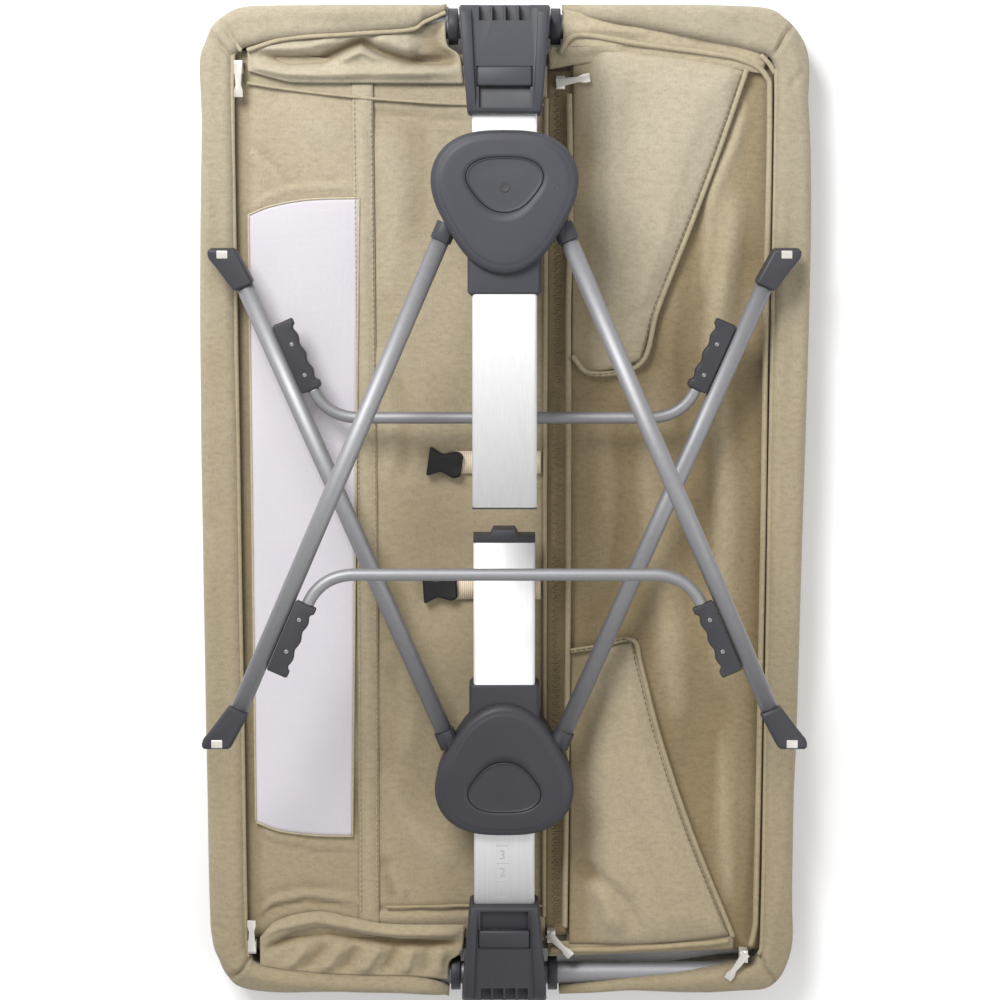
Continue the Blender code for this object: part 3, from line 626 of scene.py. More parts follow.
def build_centre_panel():
    """Centre base panel with its end hems and slack folds beside the column."""
    left, right = SEAM_X - 0.002, CENTRE_RIGHT + 0.001

    def shape(x, y, u, v):
        z = 0.002 + undulate(x, y, 5, 0.0012, 0.13, (1.0, 0.7))
        head_hem = 0.376 - 0.09 * (x + 0.125)
        z -= 0.0024 * np.exp(-((y - head_hem + 0.002) / 0.0024) ** 2)
        z += 0.0026 * np.exp(-((y + 0.39) / 0.0045) ** 2) - 0.0024 * np.exp(-((y + 0.382) / 0.0024) ** 2)
        return folds(z, x, y, [
            ([(-0.118, 0.16), (-0.1, 0.09), (-0.112, 0.02)], 0.01, 0.003),
            ([(-0.105, 0.14), (-0.09, 0.08), (-0.095, 0.03)], 0.007, -0.0028),
            ([(-0.114, 0.36), (-0.095, 0.3), (-0.105, 0.2)], 0.012, 0.0026),
            ([(-0.08, 0.37), (-0.075, 0.32), (-0.085, 0.25)], 0.012, -0.0022),
            ([(-0.112, -0.245), (-0.09, -0.3), (-0.05, -0.345)], 0.011, 0.0036),
            ([(-0.116, -0.33), (-0.105, -0.376)], 0.004, -0.0032),
            ([(-0.112, -0.34), (-0.095, -0.372)], 0.005, 0.0028),
            ([(-0.105, -0.12), (-0.085, -0.19), (-0.095, -0.24)], 0.009, 0.0026),
            ([(-0.11, -0.06), (-0.096, -0.11), (-0.104, -0.17)], 0.008, -0.0024),
            ([(0.02, 0.34), (0.03, 0.3)], 0.006, 0.002),
        ])

    edges = four_sides((left, -0.41), (right, -0.414), (left, 0.415), (right, 0.415))
    panel = cloth_piece("centre_panel_cloth", edges, WALL_TOP - 0.002, shape, FABRIC, "crib_fabric")
    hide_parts("base_panel")


def build_right_wall():
    """Right wall lying slack, with soft lengthwise folds and deep hollows beside the flaps."""
    left, right = TAPE_HIGH.x - 0.002, 0.2462

    def shape(x, y, u, v):
        z = 0.0004 + undulate(x, y, 11, 0.002, 0.1, (1.6, 0.35))
        z = folds(z, x, y, [
            ([(0.224, 0.395), (0.21, 0.3452), (0.1906, 0.3), (0.18, 0.2)], 0.006, 0.0052),
            ([(0.212, 0.3), (0.195, 0.16), (0.206, 0.0), (0.198, -0.18)], 0.011, 0.006),
            ([(0.19, 0.29), (0.168, 0.16), (0.18, 0.02), (0.175, -0.1)], 0.009, -0.004),
            ([(0.14, 0.14), (0.135, 0.02), (0.15, -0.1), (0.165, -0.2)], 0.013, 0.0042),
            ([(0.085, 0.11), (0.095, 0.02), (0.09, -0.1)], 0.014, 0.0036),
            ([(0.11, 0.11), (0.115, 0.0), (0.11, -0.09)], 0.01, -0.003),
            ([(0.205, -0.2), (0.208, -0.3), (0.216, -0.38)], 0.008, 0.004),
        ])
        lane = np.clip((np.abs(x - 0.229) - 0.0045) / 0.006, 0, 1)
        side = np.clip((0.244 - x) / 0.004, 0, 1)
        return np.maximum(np.where(z > 0.0012, 0.0012 + (z - 0.0012) * lane, z) * side, -0.0014)

    edges = four_sides((left, -0.424), (right, -0.424), (left, 0.424), (right, 0.424))
    # Painted shade: the darker fabric copy darkens this low wall beside the flaps.
    wall = cloth_piece("wall_right_cloth", edges, LOW_TOP - 0.003, shape, FABRIC_PAINTED_SHADE, "crib_fabric",
                       0.0)
    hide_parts("side_wall_right")


def padded_flap(name, edges, node, shape, welt, seed):
    """Padded flap: crowned on top, flat below, drawn in at its welted edge and low beside the zip."""
    grid, u, v = coons(*edges, step=0.0035)
    x, y = grid[..., 0], grid[..., 1]
    rim = np.minimum(np.minimum(u, 1 - u) * 0.13, np.minimum(v, 1 - v) * 0.28)
    crown = np.sqrt(np.clip(rim / 0.026, 0, 1))
    valley = np.clip((x - 0.074) / 0.026, 0, 1)
    valley = valley * valley * (3 - 2 * valley)
    rise = 0.011 * crown * valley + (shape(x, y) + undulate(x, y, seed, 0.0012, 0.1)) * crown
    lane = np.clip((0.212 - x) / 0.01, 0, 1)
    z = LOW_TOP + 0.002 + np.maximum(rise, -0.001) * np.where(x > 0.15, 0.55 + 0.45 * lane, 1)
    base = LOW_TOP + 0.0006 + 0 * z
    piece = new_piece(name, *slab(x, y, z, base), FLAP_FABRIC, CRIB, "crib_fabric")
    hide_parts(node)
    line = smooth_line(welt, 240)
    path = raised(line, LOW_TOP + 0.0054)
    new_piece(name + "_welt", *tube_data(path, 0.0024, 10), PIPING, CRIB, "crib_fabric")
    path = np.column_stack([line[:, 0] - 0.0042, line[:, 1], np.full(len(line), LOW_TOP + 0.0078)])
    new_piece(name + "_seam", *stitch_data(path, 0.004, 0.0016, 0.0005), SEAM_THREAD, CRIB, "crib_fabric")


def slab(x, y, top, bottom):
    """Closed slab between two height fields on one grid."""
    rows, columns = x.shape
    points = np.vstack([np.stack([x, y, z], -1).reshape(-1, 3) for z in (top, bottom)])
    count = rows * columns
    faces = grid_faces(rows, columns)
    under = [tuple(count + k for k in face[::-1]) for face in faces]
    ring = list(range(columns)) + [i * columns + columns - 1 for i in range(1, rows)]
    ring += [(rows - 1) * columns + j for j in range(columns - 2, -1, -1)]
    ring += [i * columns for i in range(rows - 2, 0, -1)]
    sides = [(a, count + a, count + b, b) for a, b in zip(ring, ring[1:] + ring[:1])]
    return points, faces + under + sides


def build_flaps():
    def head_shape(x, y):
        z = fold(x, y, [(0.15, 0.4), (0.14, 0.3), (0.11, 0.19)], 0.03, 0.0022)
        return folds(z, x, y, [
            ([(0.1, 0.41), (0.102, 0.35), (0.096, 0.28)], 0.008, 0.0018),
            ([(0.118, 0.405), (0.114, 0.34)], 0.006, -0.0016),
            ([(0.092, 0.18), (0.12, 0.19), (0.14, 0.2)], 0.004, -0.0016),
            ([(0.096, 0.16), (0.112, 0.168)], 0.003, -0.0014),
            ([(0.19, 0.38), (0.15, 0.26)], 0.01, -0.0012),
        ])

    def foot_shape(x, y):
        z = fold(x, y, [(0.068, -0.335), (0.0916, -0.352), (0.115, -0.375), (0.1292, -0.4044)],
                 0.0075, -0.007)
        return folds(z, x, y, [
            ([(0.08, -0.35), (0.096, -0.372), (0.11, -0.405)], 0.01, 0.0032),
            ([(0.1242, -0.3054), (0.1411, -0.36), (0.15, -0.4)], 0.007, -0.0024),
            ([(0.112, -0.16), (0.13, -0.25), (0.17, -0.37)], 0.016, 0.0026),
            ([(0.1, -0.15), (0.095, -0.24)], 0.012, -0.0022),
        ])

    a, b = (0.0625, 0.15), (0.1262, 0.1439)
    c, d = (0.2202, 0.412), (0.0625, 0.433)
    slanted = [b, (0.1414, 0.1939), (0.17, 0.2683), (0.1965, 0.341), c]
    top = [d, (0.076, 0.437), (0.1229, 0.4285), (0.1813, 0.4205), c]
    edges = ([a, (0.081, 0.1337), b], top, [a, d], slanted)
    padded_flap("flap_head", edges, "end_flap_head", head_shape, [a, (0.081, 0.1337)] + slanted, 21)
    a, b = (0.0625, -0.4172), (0.219, -0.409)
    c, d = (0.1201, -0.1183), (0.0625, -0.129)
    slanted = [b, (0.1767, -0.3032), (0.1473, -0.2151), (0.129, -0.145), c]
    edges = ([a, (0.14, -0.4175), b], [d, (0.09, -0.125), c], [a, d], slanted)
    padded_flap("flap_foot", edges, "end_flap_foot", foot_shape, slanted + [(0.09, -0.1245), d], 23)


def build_end_folds():
    """Bunched end walls beside the brackets, tucked under the rim."""
    def head_shape(x, y, u, v):
        z = 0.001 + undulate(x, y, 31, 0.0012, 0.05)
        z = folds(z, x, y, [
            ([(-0.232, 0.415), (-0.2062, 0.408), (-0.1699, 0.406), (-0.1264, 0.4075), (-0.036, 0.408)],
              0.006, 0.0066),
            ([(-0.224, 0.425), (-0.1952, 0.42), (-0.1662, 0.421), (-0.1298, 0.437), (-0.1154, 0.428),
              (-0.0865, 0.419), (-0.038, 0.418)], 0.0042, -0.012),
            ([(-0.225, 0.43), (-0.18, 0.432), (-0.15, 0.44)], 0.0045, 0.005),
            ([(-0.118, 0.443), (-0.095, 0.433), (-0.078, 0.429)], 0.0055, 0.0052),
            ([(-0.15, 0.419), (-0.13, 0.428), (-0.11, 0.42)], 0.0036, 0.0044),
        ])
        sunk = np.clip((x + 0.088) / 0.03, 0, 1) * np.clip((y - 0.413) / 0.01, 0, 1)
        return z - 0.0085 * sunk

    bottom = [(-0.233, 0.4105), (-0.21, 0.404), (-0.188, 0.4), (-0.122, 0.3995), (-0.0375, 0.399)]
    top = [(-0.233, 0.433), (-0.1985, 0.44), (-0.144, 0.445), (-0.087, 0.449), (-0.0535, 0.456)]
    edges = (bottom, top, [bottom[0], top[0]], [bottom[-1], (-0.041, 0.424), (-0.052, 0.434), top[-1]])
    head = cloth_piece("end_folds_head", edges, END_TOP - 0.0035, head_shape, FOLD_FABRIC, "crib_fabric",
                       0.0, 0.0022)
    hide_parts("end_panel_head")

    def foot_shape(x, y, u, v):
        z = 0.0008 + undulate(x, y, 37, 0.001, 0.05)
        z = folds(z, x, y, [
            ([(-0.236, -0.408), (-0.217, -0.398), (-0.1787, -0.39), (-0.1464, -0.397), (-0.11, -0.403),
              (-0.036, -0.4045)], 0.005, 0.0066),
            ([(-0.232, -0.424), (-0.199, -0.408), (-0.168, -0.404), (-0.1369, -0.411), (-0.1, -0.416),
              (-0.04, -0.417)], 0.0042, -0.011),
        ])
        for start, lean, height in ((-0.214, 0.026, 0.005), (-0.196, 0.026, -0.004), (-0.178, 0.024, 0.0052),
                                    (-0.158, 0.02, -0.0046), (-0.138, 0.02, 0.005), (-0.116, 0.014, -0.0042),
                                    (-0.096, 0.01, 0.0046), (-0.076, 0.004, -0.0036), (-0.06, 0.0, 0.003)):
            z += fold(x, y, [(start, -0.448), (start + lean, -0.418)], 0.005, height)
        return z

    bottom = [(-0.234, -0.438), (-0.2, -0.444), (-0.1527, -0.4475), (-0.09, -0.449), (-0.054, -0.452)]
    top = [(-0.234, -0.41), (-0.217, -0.393), (-0.1787, -0.384), (-0.1464, -0.39), (-0.11, -0.3965),
           (-0.0375, -0.3975)]
    edges = (bottom, top, [bottom[0], top[0]], [bottom[-1], (-0.052, -0.434), (-0.041, -0.424), top[-1]])
    foot = cloth_piece("end_folds_foot", edges, END_TOP - 0.004, foot_shape, FOLD_FABRIC, "crib_fabric",
                       0.0, 0.0022)
    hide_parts("end_panel_foot")

    def corner_shape(x, y, u, v):
        z = 0.0012 + undulate(x, y, 41, 0.001, 0.06)
        z = folds(z, x, y, [
            ([(0.05, 0.444), (0.083, 0.449), (0.13, 0.444)], 0.0045, 0.004),
            ([(0.05, 0.426), (0.085, 0.433), (0.11, 0.428)], 0.006, 0.004),
            ([(0.06, 0.412), (0.085, 0.418)], 0.004, -0.0026),
        ])
        return z * np.clip((x - 0.046) / 0.01, 0.3, 1)

    bottom = [(0.0412, 0.412), (0.08, 0.418), (0.12, 0.42), (0.1813, 0.416), (0.234, 0.408)]
    top = [(0.0535, 0.466), (0.0827, 0.46), (0.1421, 0.45), (0.201, 0.439), (0.24, 0.424)]
    edges = (bottom, top, [bottom[0], (0.0412, 0.43), (0.0525, 0.4345), top[0]], [bottom[-1], top[-1]])
    # Painted shade: the darker fabric copy darkens this corner fold beside the head flap.
    cloth_piece("end_folds_head_right", edges, LOW_TOP + 0.0038, corner_shape, FABRIC_PAINTED_SHADE, "crib_fabric",
                0.0, 0.003)

    def sill_shape(x, y, u, v):
        return 0.0008 + undulate(x, y, 43, 0.0006, 0.06) + 0.0012 * np.sin(np.pi * v)

    edges = ([(0.042, -0.43), (0.064, -0.4295), (0.22, -0.423)],
             [(0.042, -0.415), (0.064, -0.415), (0.22, -0.408)],
             [(0.042, -0.43), (0.042, -0.415)], [(0.22, -0.423), (0.22, -0.408)])
    cloth_piece("end_sill_foot_right", edges, LOW_TOP + 0.0002, sill_shape, FABRIC, "crib_fabric",
                0.0, 0.003)


def build_piping():
    """Welts along the rim and the zip, and the long centre zip."""
    top = WALL_TOP
    runs = {
        "welt_left": ([(-0.238, 0.429), (-0.2468, 0.408), (-0.2474, 0.1), (-0.2474, -0.2), (-0.247, -0.406),
                       (-0.244, -0.427)], RIM_TOP - 0.0045, 0.0022),
        "welt_rim_right": ([(0.2325, 0.425), (0.244, 0.41), (0.2474, 0.38), (0.2474, 0.1), (0.2474, -0.2),
                            (0.247, -0.4), (0.244, -0.426)], RIM_TOP - 0.0045, 0.0022),
        "welt_head_left": ([(-0.233, 0.429), (-0.1985, 0.439), (-0.144, 0.4432), (-0.087, 0.447),
                            (-0.0718, 0.4542), (-0.053, 0.4625)], RIM_TOP - 0.003, 0.002),
        "welt_basket_right": ([(0.05, 0.426), (0.059, 0.439), (0.0739, 0.4425), (0.1229, 0.4345),
                               (0.1813, 0.427), (0.2165, 0.42), (0.2376, 0.406), (0.2415, 0.3753),
                               (0.2412, 0.202), (0.2415, 0.0152), (0.2413, -0.1762), (0.2405, -0.37),
                               (0.24, -0.398), (0.236, -0.418)], top + 0.0052, 0.0026),
        "welt_wall_head": ([(-0.234, 0.4), (-0.2284, 0.3987), (-0.1858, 0.3924), (-0.1295, 0.3862),
                            (-0.0858, 0.383), (-0.0404, 0.3805), (0.036, 0.38)], top + 0.0024, 0.0014),
        "welt_wall_foot": ([(-0.113, -0.38), (-0.0858, -0.38), (-0.0404, -0.379), (0.036, -0.379)],
                           top + 0.0022, 0.0014),
        "welt_basket_foot": ([(0.045, -0.4225), (0.1127, -0.4217), (0.19, -0.4165), (0.215, -0.413)],
                             top + 0.003, 0.0026),
        "welt_centre_left": ([(0.0382, 0.386), (0.0382, 0.35), (0.038, 0.1), (0.038, -0.2), (0.038, -0.39)],
                             top + 0.0022, 0.002),
        "welt_centre_right": ([(0.059, 0.39), (0.0606, 0.2781), (0.059, 0.1984), (0.0595, 0.1), (0.06, -0.1),
                               (0.059, -0.25), (0.058, -0.4)], top + 0.0034, 0.0026),
    }
    for name, (line, height, radius) in runs.items():
        xy = smooth_line(line, 300)
        lift = 0.0006 * np.sin(np.linspace(0, 23, len(xy)))
        path = np.column_stack([xy, height + lift])
        new_piece(name, *tube_data(path, radius, 10), PIPING, CRIB, "crib_fabric")
    tape_x = (TAPE_LOW.x + TAPE_HIGH.x) / 2
    parts = []
    for k, place in enumerate(np.arange(TAPE_LOW.y + 0.01, TAPE_HIGH.y - 0.01, 0.0028)):
        middle = tape_x - 0.001 + (0.001 if k % 2 else -0.001)
        line = [(middle - 0.0022, place, TAPE_HIGH.z - 0.0012), (middle, place, TAPE_HIGH.z - 0.0006),
                (middle + 0.0022, place, TAPE_HIGH.z - 0.0012)]
        parts.append(tube_data(line, 0.0007, 5))
    new_piece("zip_coil_centre", *joined(parts), FABRIC_PAINTED_SHADE, CRIB, "zip_tape")
    low, high = TAPE_LOW, TAPE_HIGH
    edges = four_sides((low.x, low.y), (high.x, low.y), (low.x, high.y), (high.x, high.y))
    tape = cloth_piece("zip_tape_cloth", edges, high.z - 0.0014, lambda x, y, u, v: 0.0002 + 0 * x,
                       FABRIC_PAINTED_SHADE, "zip_tape", 0.0)
    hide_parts("zip_tape_centre")


def build_stitches():
    """Visible stitch rows beside the main seams."""
    rows = []

    def row(line, z, count=160):
        xy = smooth_line(line, count)
        rows.append(stitch_data(raised(xy, z)))

    strip = WALL_TOP + 0.0036
    for x in (SEAM_X - 0.0115, SEAM_X + 0.004):
        row([(x, -0.386), (x + 0.001, 0.0), (x, 0.384)], strip)
    new_piece("seam_stitches", *joined(rows), THREAD, CRIB, "crib_fabric")


def build_mattress():
    """Quilted mattress pad under the base board, seen from below."""
    low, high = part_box("mattress_pad")
    u, v = np.meshgrid(np.linspace(-1, 1, 64), np.linspace(-1, 1, 104))
    x, y = u * high.x, v * high.y
    edge = np.clip((1 - np.maximum(np.abs(u), np.abs(v))) / 0.05, 0, 1) ** 0.5
    diamond = np.abs(np.sin(math.pi * (x + y) / 0.085)) * np.abs(np.sin(math.pi * (x - y) / 0.085))
    thick = (high.z - low.z) / 2
    rise = thick * (0.35 + 0.65 * edge) - 0.003 + 0.0027 * diamond ** 0.4 * edge
    middle = (high.z + low.z) / 2
    pad = new_piece("mattress_quilt", *slab(x, y, middle + rise, middle - rise), PAD_FABRIC, CRIB, "pad")
    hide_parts("mattress_pad")


def build_belts():
    """Cream webbing that runs from the buckles under the column."""
    for word in ("head", "foot"):
        low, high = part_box("buckle_" + word)
        middle = (low.y + high.y) / 2
        x, side = np.meshgrid(np.linspace(high.x - 0.008, 0.034, 30), (-0.0105, 0.0105))
        z = WALL_TOP + 0.0042 + 0.0008 * np.sin(x * 90)
        new_piece("belt_webbing_" + word, *slab(x, middle + side, z, z - 0.0014), WEBBING, CRIB)


# ---------------------------------------------------------------- stands


def stand_matrix(end):
    """From a stand's own frame (Y along the column, Z off the crib) to the crib's, at rest."""
    along = Vector(JOINTS[end + "_height_slide"]["axis"]).normalized()
    up = -Vector(JOINTS[end + "_fold_button_press"]["axis"]).normalized()
    across = along.cross(up)
    turn = Matrix((across, along, up)).transposed().to_4x4()
    return Matrix.Translation(JOINTS[end + "_stand_fold"]["pos_m"]) @ turn


def local_box(end, node):
    """Lowest and highest corner of a CAD node in its stand's own frame."""
    back = stand_matrix(end).inverted()
    points = np.array([back @ v.co for v in frame["nodes"][node].data.vertices])
    return Vector(points.min(0)), Vector(points.max(0))


def stand_piece(name, end, data, material, body, slot):
    matrix = stand_matrix(end)
    points = [matrix @ Vector(p) for p in data[0]]
    return new_piece(name, points, data[1], material, body, slot)


def hub_ring(radius, lobe, scale, stretch=(1.0, 1.0), count=96):
    angles = 2 * math.pi * np.arange(count) / count
    r = (radius - lobe * np.sin(3 * angles)) * scale
    return np.stack([stretch[0] * r * np.cos(angles), stretch[1] * r * np.sin(angles)], -1)


def loft(rings):
    """Closed solid from a stack of equal rings of 3-D points, bottom ring first, top ring last."""
    count = len(rings[0])
    points = np.vstack(rings)
    faces = grid_faces(len(rings), count, True)
    last = (len(rings) - 1) * count
    return points, faces + [tuple(range(count))[::-1], tuple(range(last, last + count))]


def build_hub_cover(end, shade):
    """Domed hub cover with a soft rim, and the height button with its raised outline."""
    low, high = local_box(end, end + "_hub_cover")
    button_low, button_high = local_box(end, end + "_height_button")
    lobe = 0.0056
    radius = (high.y - low.y) / 2 - 0.0002
    centre = (low.y + high.y) / 2 - lobe
    across = (button_high.x - button_low.x) / (high.x - low.x)
    along = (button_high.y - button_low.y) / (high.y - low.y)
    middle = (button_low.y + button_high.y) / 2 - lobe * along
    top = high.z

    def ring(scale, z):
        xy = hub_ring(radius, lobe, scale)
        return np.column_stack([xy[:, 0], centre + xy[:, 1], np.full(len(xy), z)])

    def small(scale, z):
        xy = hub_ring(radius, lobe, scale, (across, along))
        return np.column_stack([xy[:, 0], middle + xy[:, 1], np.full(len(xy), z)])

    rings = [ring(0.985, low.z), ring(1.0, low.z + 0.001)]
    for i in range(1, 9):
        angle = math.radians(90 * i / 8)
        rise = (top - low.z - 0.0026) * math.sin(angle)
        rings.append(ring(1.0 - 0.1 * (1 - math.cos(angle)), low.z + 0.001 + rise))
    rings += [ring(0.88, top - 0.0013), ring(0.865, top - 0.0008), ring(0.845, top - 0.0006)]
    outer, hole = ring(0.845, top - 0.0006), small(1.012, top - 0.0002)
    for t in (0.2, 0.4, 0.6, 0.8, 1.0):
        rings.append(outer * (1 - t) + hole * t)
    rings += [small(1.008, top - 0.0006), small(1.006, top - 0.0045), small(1.006, low.z)]
    points, faces = np.vstack(rings), grid_faces(len(rings), 96, True)
    last = (len(rings) - 1) * 96
    faces += [(last + k, last + (k + 1) % 96, (k + 1) % 96, k) for k in range(96)]
    cover = stand_piece(end + "_hub_dome", end, (points, faces), shade, end + "_hub", "frame_plastic")
    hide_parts(end + "_hub_cover")
    profile = [(0.985, button_low.z), (0.997, button_low.z + 0.0004),
               (0.997, top - 0.0006), (0.988, top + 0.0001),
               (0.976, top + 0.0007), (0.962, top + 0.0008), (0.948, top + 0.0004), (0.935, top - 0.0001),
               (0.9, top - 0.0002), (0.6, top + 0.0001), (0.2, top + 0.0003)]
    rings = [small(share, z) for share, z in profile]
    body = end + "_height_button"
    button = stand_piece(end + "_height_button_cap", end, loft(rings), shade, body, "frame_plastic")
    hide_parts(end + "_height_button")
    if end == "head":
        eye = middle + 0.004
        stand_piece("head_button_eye", end, disc_data(0.0, eye, top + 0.0004, 0.0046), PLASTIC_DARK, body,
                    "frame_plastic")
        stand_piece("head_cover_eye", end, disc_data(-0.0455, eye, top - 0.0006, 0.0026), PLASTIC_DARK,
                    end + "_hub", "frame_plastic")


def turned(x, y, z, radius, profile, count):
    """Round solid from a profile of (share of radius, rise)."""
    angles = 2 * math.pi * np.arange(count) / count
    return loft([np.column_stack([x + radius * share * np.cos(angles), y + radius * share * np.sin(angles),
                                  np.full(count, z + rise)]) for share, rise in profile])


def disc_data(x, y, z, radius):
    """Shallow dished disc."""
    profile = ((1.0, -0.0006), (1.0, 0.0002), (0.9, 0.0004), (0.75, 0.0002), (0.3, 0.00005))
    return turned(x, y, z, radius, profile, 28)


def finish_node(node, material, bevel=0.0008, segments=2, angle=30):
    """A CAD node kept as it is, with rounded edges, smooth shading and a finished material."""
    item = frame["nodes"][node]
    item.data.materials.clear()
    item.data.materials.append(material)
    item.data.shade_smooth()
    weld = item.modifiers.new("Weld", "WELD")
    weld.merge_threshold = 0.00002
    if bevel:
        modifier = item.modifiers.new("Bevel", "BEVEL")
        modifier.width = bevel
        modifier.segments = segments
        modifier.limit_method = "ANGLE"
        modifier.angle_limit = math.radians(angle)
        modifier.harden_normals = True
        modifier.use_clamp_overlap = True


def build_foot_pads(end):
    """Small light pads let into the soles of the shoes."""
    for side, word in ((1, "right"), (-1, "left")):
        high = local_box(end, end + "_shoe_" + word)[1]
        x = side * 0.2555
        data = box_loft((x - 0.005, high.y - 0.0085, high.z - 0.003),
                        (x + 0.005, high.y - 0.0012, high.z + 0.0004), 0.0008)
        stand_piece(end + "_shoe_pad_" + word, end, data, ZIP_METAL, end + "_hub", "zip_metal")


def box_loft(low, high, radius):
    """Box with rounded upright corners and a rounded top edge."""
    cx, cy = (low[0] + high[0]) / 2, (low[1] + high[1]) / 2
    hx, hy = (high[0] - low[0]) / 2, (high[1] - low[1]) / 2
    rings = []
    for inset, z in ((0.0, low[2]), (0.0, high[2] - radius * 0.6), (radius * 0.4, high[2] - radius * 0.15),
                     (radius, high[2])):
        ring = []
        for sx, sy, start in ((1, 1, 0), (-1, 1, 90), (-1, -1, 180), (1, -1, 270)):
            for i in range(4):
                a = math.radians(start + 30 * i)
                ring.append((cx + sx * (hx - radius) + (radius - inset) * math.cos(a),
                             cy + sy * (hy - radius) + (radius - inset) * math.sin(a), z))
        rings.append(np.array(ring))
    return loft(rings)


def build_crossbar(end):
    """Smooth round crossbar: straight across, then a bend at each side into the clamp."""
    low, high = local_box(end, end + "_crossbar")
    radius = (high.z - low.z) / 2
    level = (low.z + high.z) / 2
    foot_low, foot_high = local_box(end, end + "_leg_right")
    along = np.array([foot_high.x - foot_low.x - 0.0148, foot_high.y - foot_low.y])
    along /= np.linalg.norm(along)
    tip = np.array([high.x - radius * along[1], high.y - radius * along[0]])
    knee = np.array([0.132, low.y + radius])
    t = np.linspace(0, 1, 40)[:, None]
    bend = (1 - t) ** 3 * knee + 3 * t * (1 - t) ** 2 * (knee + (0.026, 0)) \
        + 3 * t ** 2 * (1 - t) * (tip - 0.013 * along) + t ** 3 * tip
    half = np.column_stack([bend, np.full(40, level)])
    other = half[::-1] * (-1, 1, 1)
    bar = stand_piece(end + "_crossbar_smooth", end, tube_data(np.vstack([other, half]), radius, 24), TUBE,
                      end + "_hub", "tube_metal")
    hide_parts(end + "_crossbar")


def screw_data(x, y, z, radius=0.002):
    """Small pan-head screw with a recessed socket."""
    profile = ((1.0, -0.0008), (1.0, 0.0003), (0.86, 0.0007), (0.5, 0.0008), (0.45, 0.0008), (0.42, 0.0001))
    return turned(x, y, z, radius, profile, 20)


def build_clamp_screws(end, word):
    """Screw heads near the outer edge of each clamp."""
    low, high = local_box(end, end + "_clamp_" + word)
    side = 1 if word == "right" else -1
    parts = []
    for t in (0.25, 0.66):
        y = low.y + (high.y - low.y) * t
        middle = (abs(low.x) + abs(high.x)) / 2
        parts.append(screw_data(side * (middle + (t - 0.5) * 0.028), y, high.z))
    stand_piece(end + "_clamp_screws_" + word, end, joined(parts), TUBE, end + "_hub", "tube_metal")


def build_height_marks():
    """Generic ticks and the figures 1 to 3 on the foot column, between bracket and hub."""
    face = local_box("foot", "foot_column")[1].z
    matrix = stand_matrix("foot")
    ink = plastic_material("mark_ink", (0.4, 0.4, 0.42), 0.5)
    marks = []
    for y in (0.0925, 0.1095, 0.1265, 0.1435):
        marks.append(box_loft((-0.0075, y - 0.0003, face - 0.0002),
                              (0.004, y + 0.0003, face + 0.0001), 0.0001))
    stand_piece("height_ticks", "foot", joined(marks), ink, "foot_stand", "frame_plastic")
    for figure, y in (("1", 0.0965), ("2", 0.1135), ("3", 0.1305)):
        text = bpy.data.curves.new("figure", "FONT")
        text.body = figure
        text.size = 0.0125
        text.align_x = "CENTER"
        text.extrude = 0.0001
        item = bpy.data.objects.new("figure", text)
        bpy.context.scene.collection.objects.link(item)
        mesh = bpy.data.meshes.new_from_object(item)
        bpy.data.objects.remove(item)
        mesh.transform(matrix @ Matrix.Translation((-0.0018, y, face + 0.00005)))
        mesh.materials.clear()
        mesh.materials.append(ink)
        piece = bpy.data.objects.new("height_figure_" + figure, mesh)
        bpy.context.scene.collection.objects.link(piece)
        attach(piece, "foot_stand")


def build_stands():
    for end in ("head", "foot"):
        dark = PLASTIC if end == "head" else PLASTIC_DARK
        finish_node(end + "_bracket", dark, 0.001)
        finish_node(end + "_fold_button", dark, 0.0006)
        finish_node(end + "_column", COLUMN, 0.0)
        finish_node(end + "_column_plug", PLASTIC_DARK, 0.0006)
        finish_node(end + "_hub_shell", dark, 0.001)
        for word in ("left", "right"):
            finish_node(end + "_leg_" + word, TUBE, 0.0)
            finish_node(end + "_clamp_" + word, PLASTIC_DARK, 0.0008)
            finish_node(end + "_shoe_" + word, PLASTIC_DARK, 0.001)
            finish_node("hinge_collar_" + end + "_" + word, PLASTIC_DARK, 0.0008)
            build_clamp_screws(end, word)
        build_crossbar(end)
        finish_node("end_tube_" + end, TUBE, 0.0)
        build_hub_cover(end, dark)
        build_foot_pads(end)
    build_height_marks()


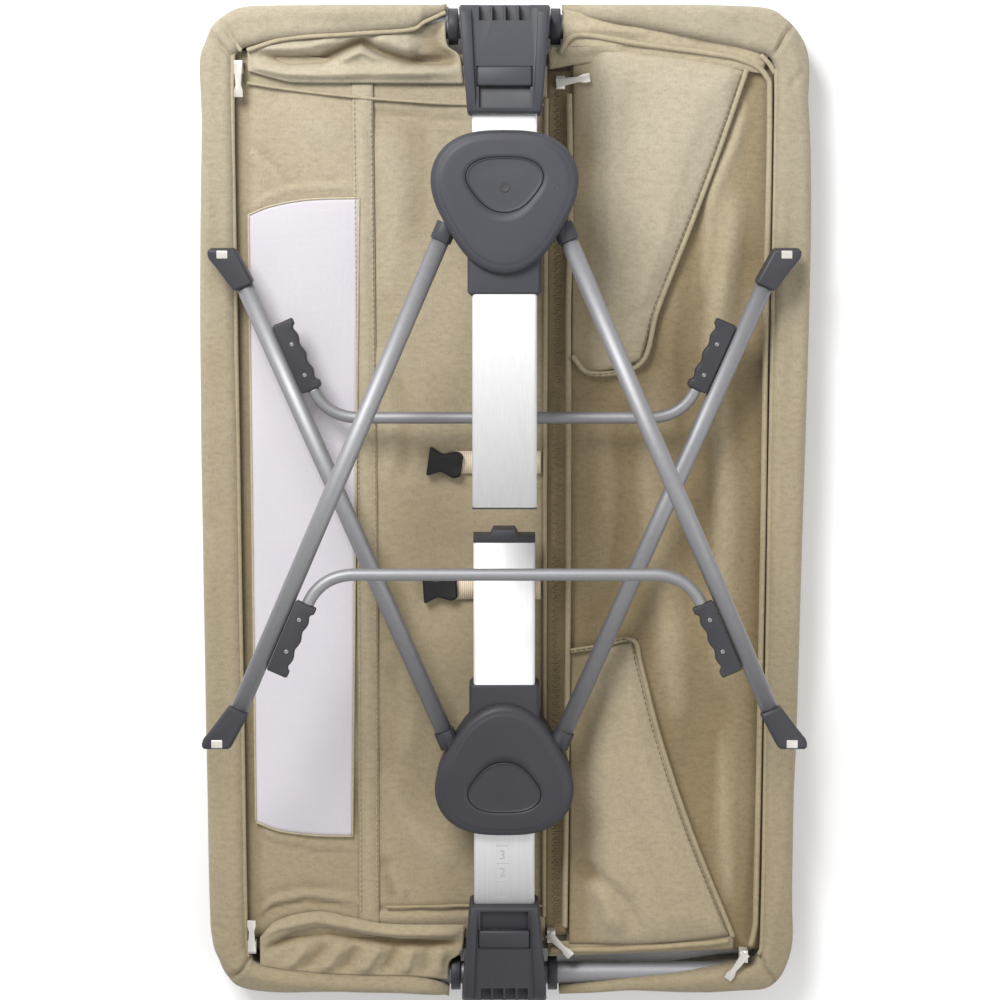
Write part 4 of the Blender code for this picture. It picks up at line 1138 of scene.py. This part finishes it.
def build_small_parts():
    for node in ("zip_slider_left_head", "zip_slider_left_foot", "zip_slider_centre_head",
                 "zip_slider_centre_foot", "zip_slider_right_foot"):
        finish_node(node, ZIP_METAL, 0.0006)
    for node in ("buckle_head", "buckle_foot"):
        finish_node(node, BLACK, 0.001)
    finish_node("base_board", BOARD, 0.0008)
    for side in ("left", "right"):
        finish_node("side_tube_" + side, TUBE, 0.0)


# ---------------------------------------------------------------- stage


def build_stage():
    """Plain pale floor, soft overhead light and a camera straight above."""
    floor = bpy.data.objects.new("floor", bpy.data.meshes.new("floor"))
    floor.data.from_pydata([(-6, -6, 0), (6, -6, 0), (6, 6, 0), (-6, 6, 0)], [], [(0, 1, 2, 3)])
    bpy.context.scene.collection.objects.link(floor)
    plain = Nodes("floor_paper", (0.92, 0.92, 0.92), 0.9)
    plain.colour(plain.ramp(plain.noise(3.0), [(0.3, (0.91, 0.91, 0.91)), (0.7, (0.93, 0.93, 0.93))]))
    floor.data.materials.append(plain.material)
    for name, place, size, power in (("key", (-0.8, 1.5, 1.6), 0.9, 60), ("fill", (1.6, -0.4, 2.0), 1.8, 16)):
        light = bpy.data.lights.new(name, "AREA")
        light.size = size
        light.energy = power
        lamp = bpy.data.objects.new(name, light)
        lamp.location = place
        lamp.rotation_euler = (-Vector(place)).to_track_quat("-Z", "Y").to_euler()
        bpy.context.scene.collection.objects.link(lamp)
    world = bpy.data.worlds.new("studio")
    bpy.context.scene.world = world
    world.use_nodes = True
    world.node_tree.nodes["Background"].inputs["Color"].default_value = (1, 1, 1, 1)
    world.node_tree.nodes["Background"].inputs["Strength"].default_value = 0.62
    camera = bpy.data.cameras.new("camera")
    lens = bpy.data.objects.new("camera", camera)
    bpy.context.scene.collection.objects.link(lens)
    camera.sensor_width = 36.0
    camera.lens = 100.1
    lens.location = (-0.004, 0.45, 2.6)
    aim = Vector((-0.004, 0.021, 0.08)) - lens.location
    lens.rotation_euler = (math.atan2(aim.y, -aim.z), 0.0, 0.0)
    bpy.context.scene.camera = lens
    bpy.context.scene.view_settings.view_transform = "Standard"


build_rim(RIM_RIGHT, "right", 51)
build_rim(RIM_LEFT, "left", 53)
build_left_wall()
build_seam_strip()
build_centre_panel()
build_right_wall()
build_flaps()
build_end_folds()
build_piping()
build_stitches()
build_mattress()
build_belts()
build_stands()
build_small_parts()
build_stage()
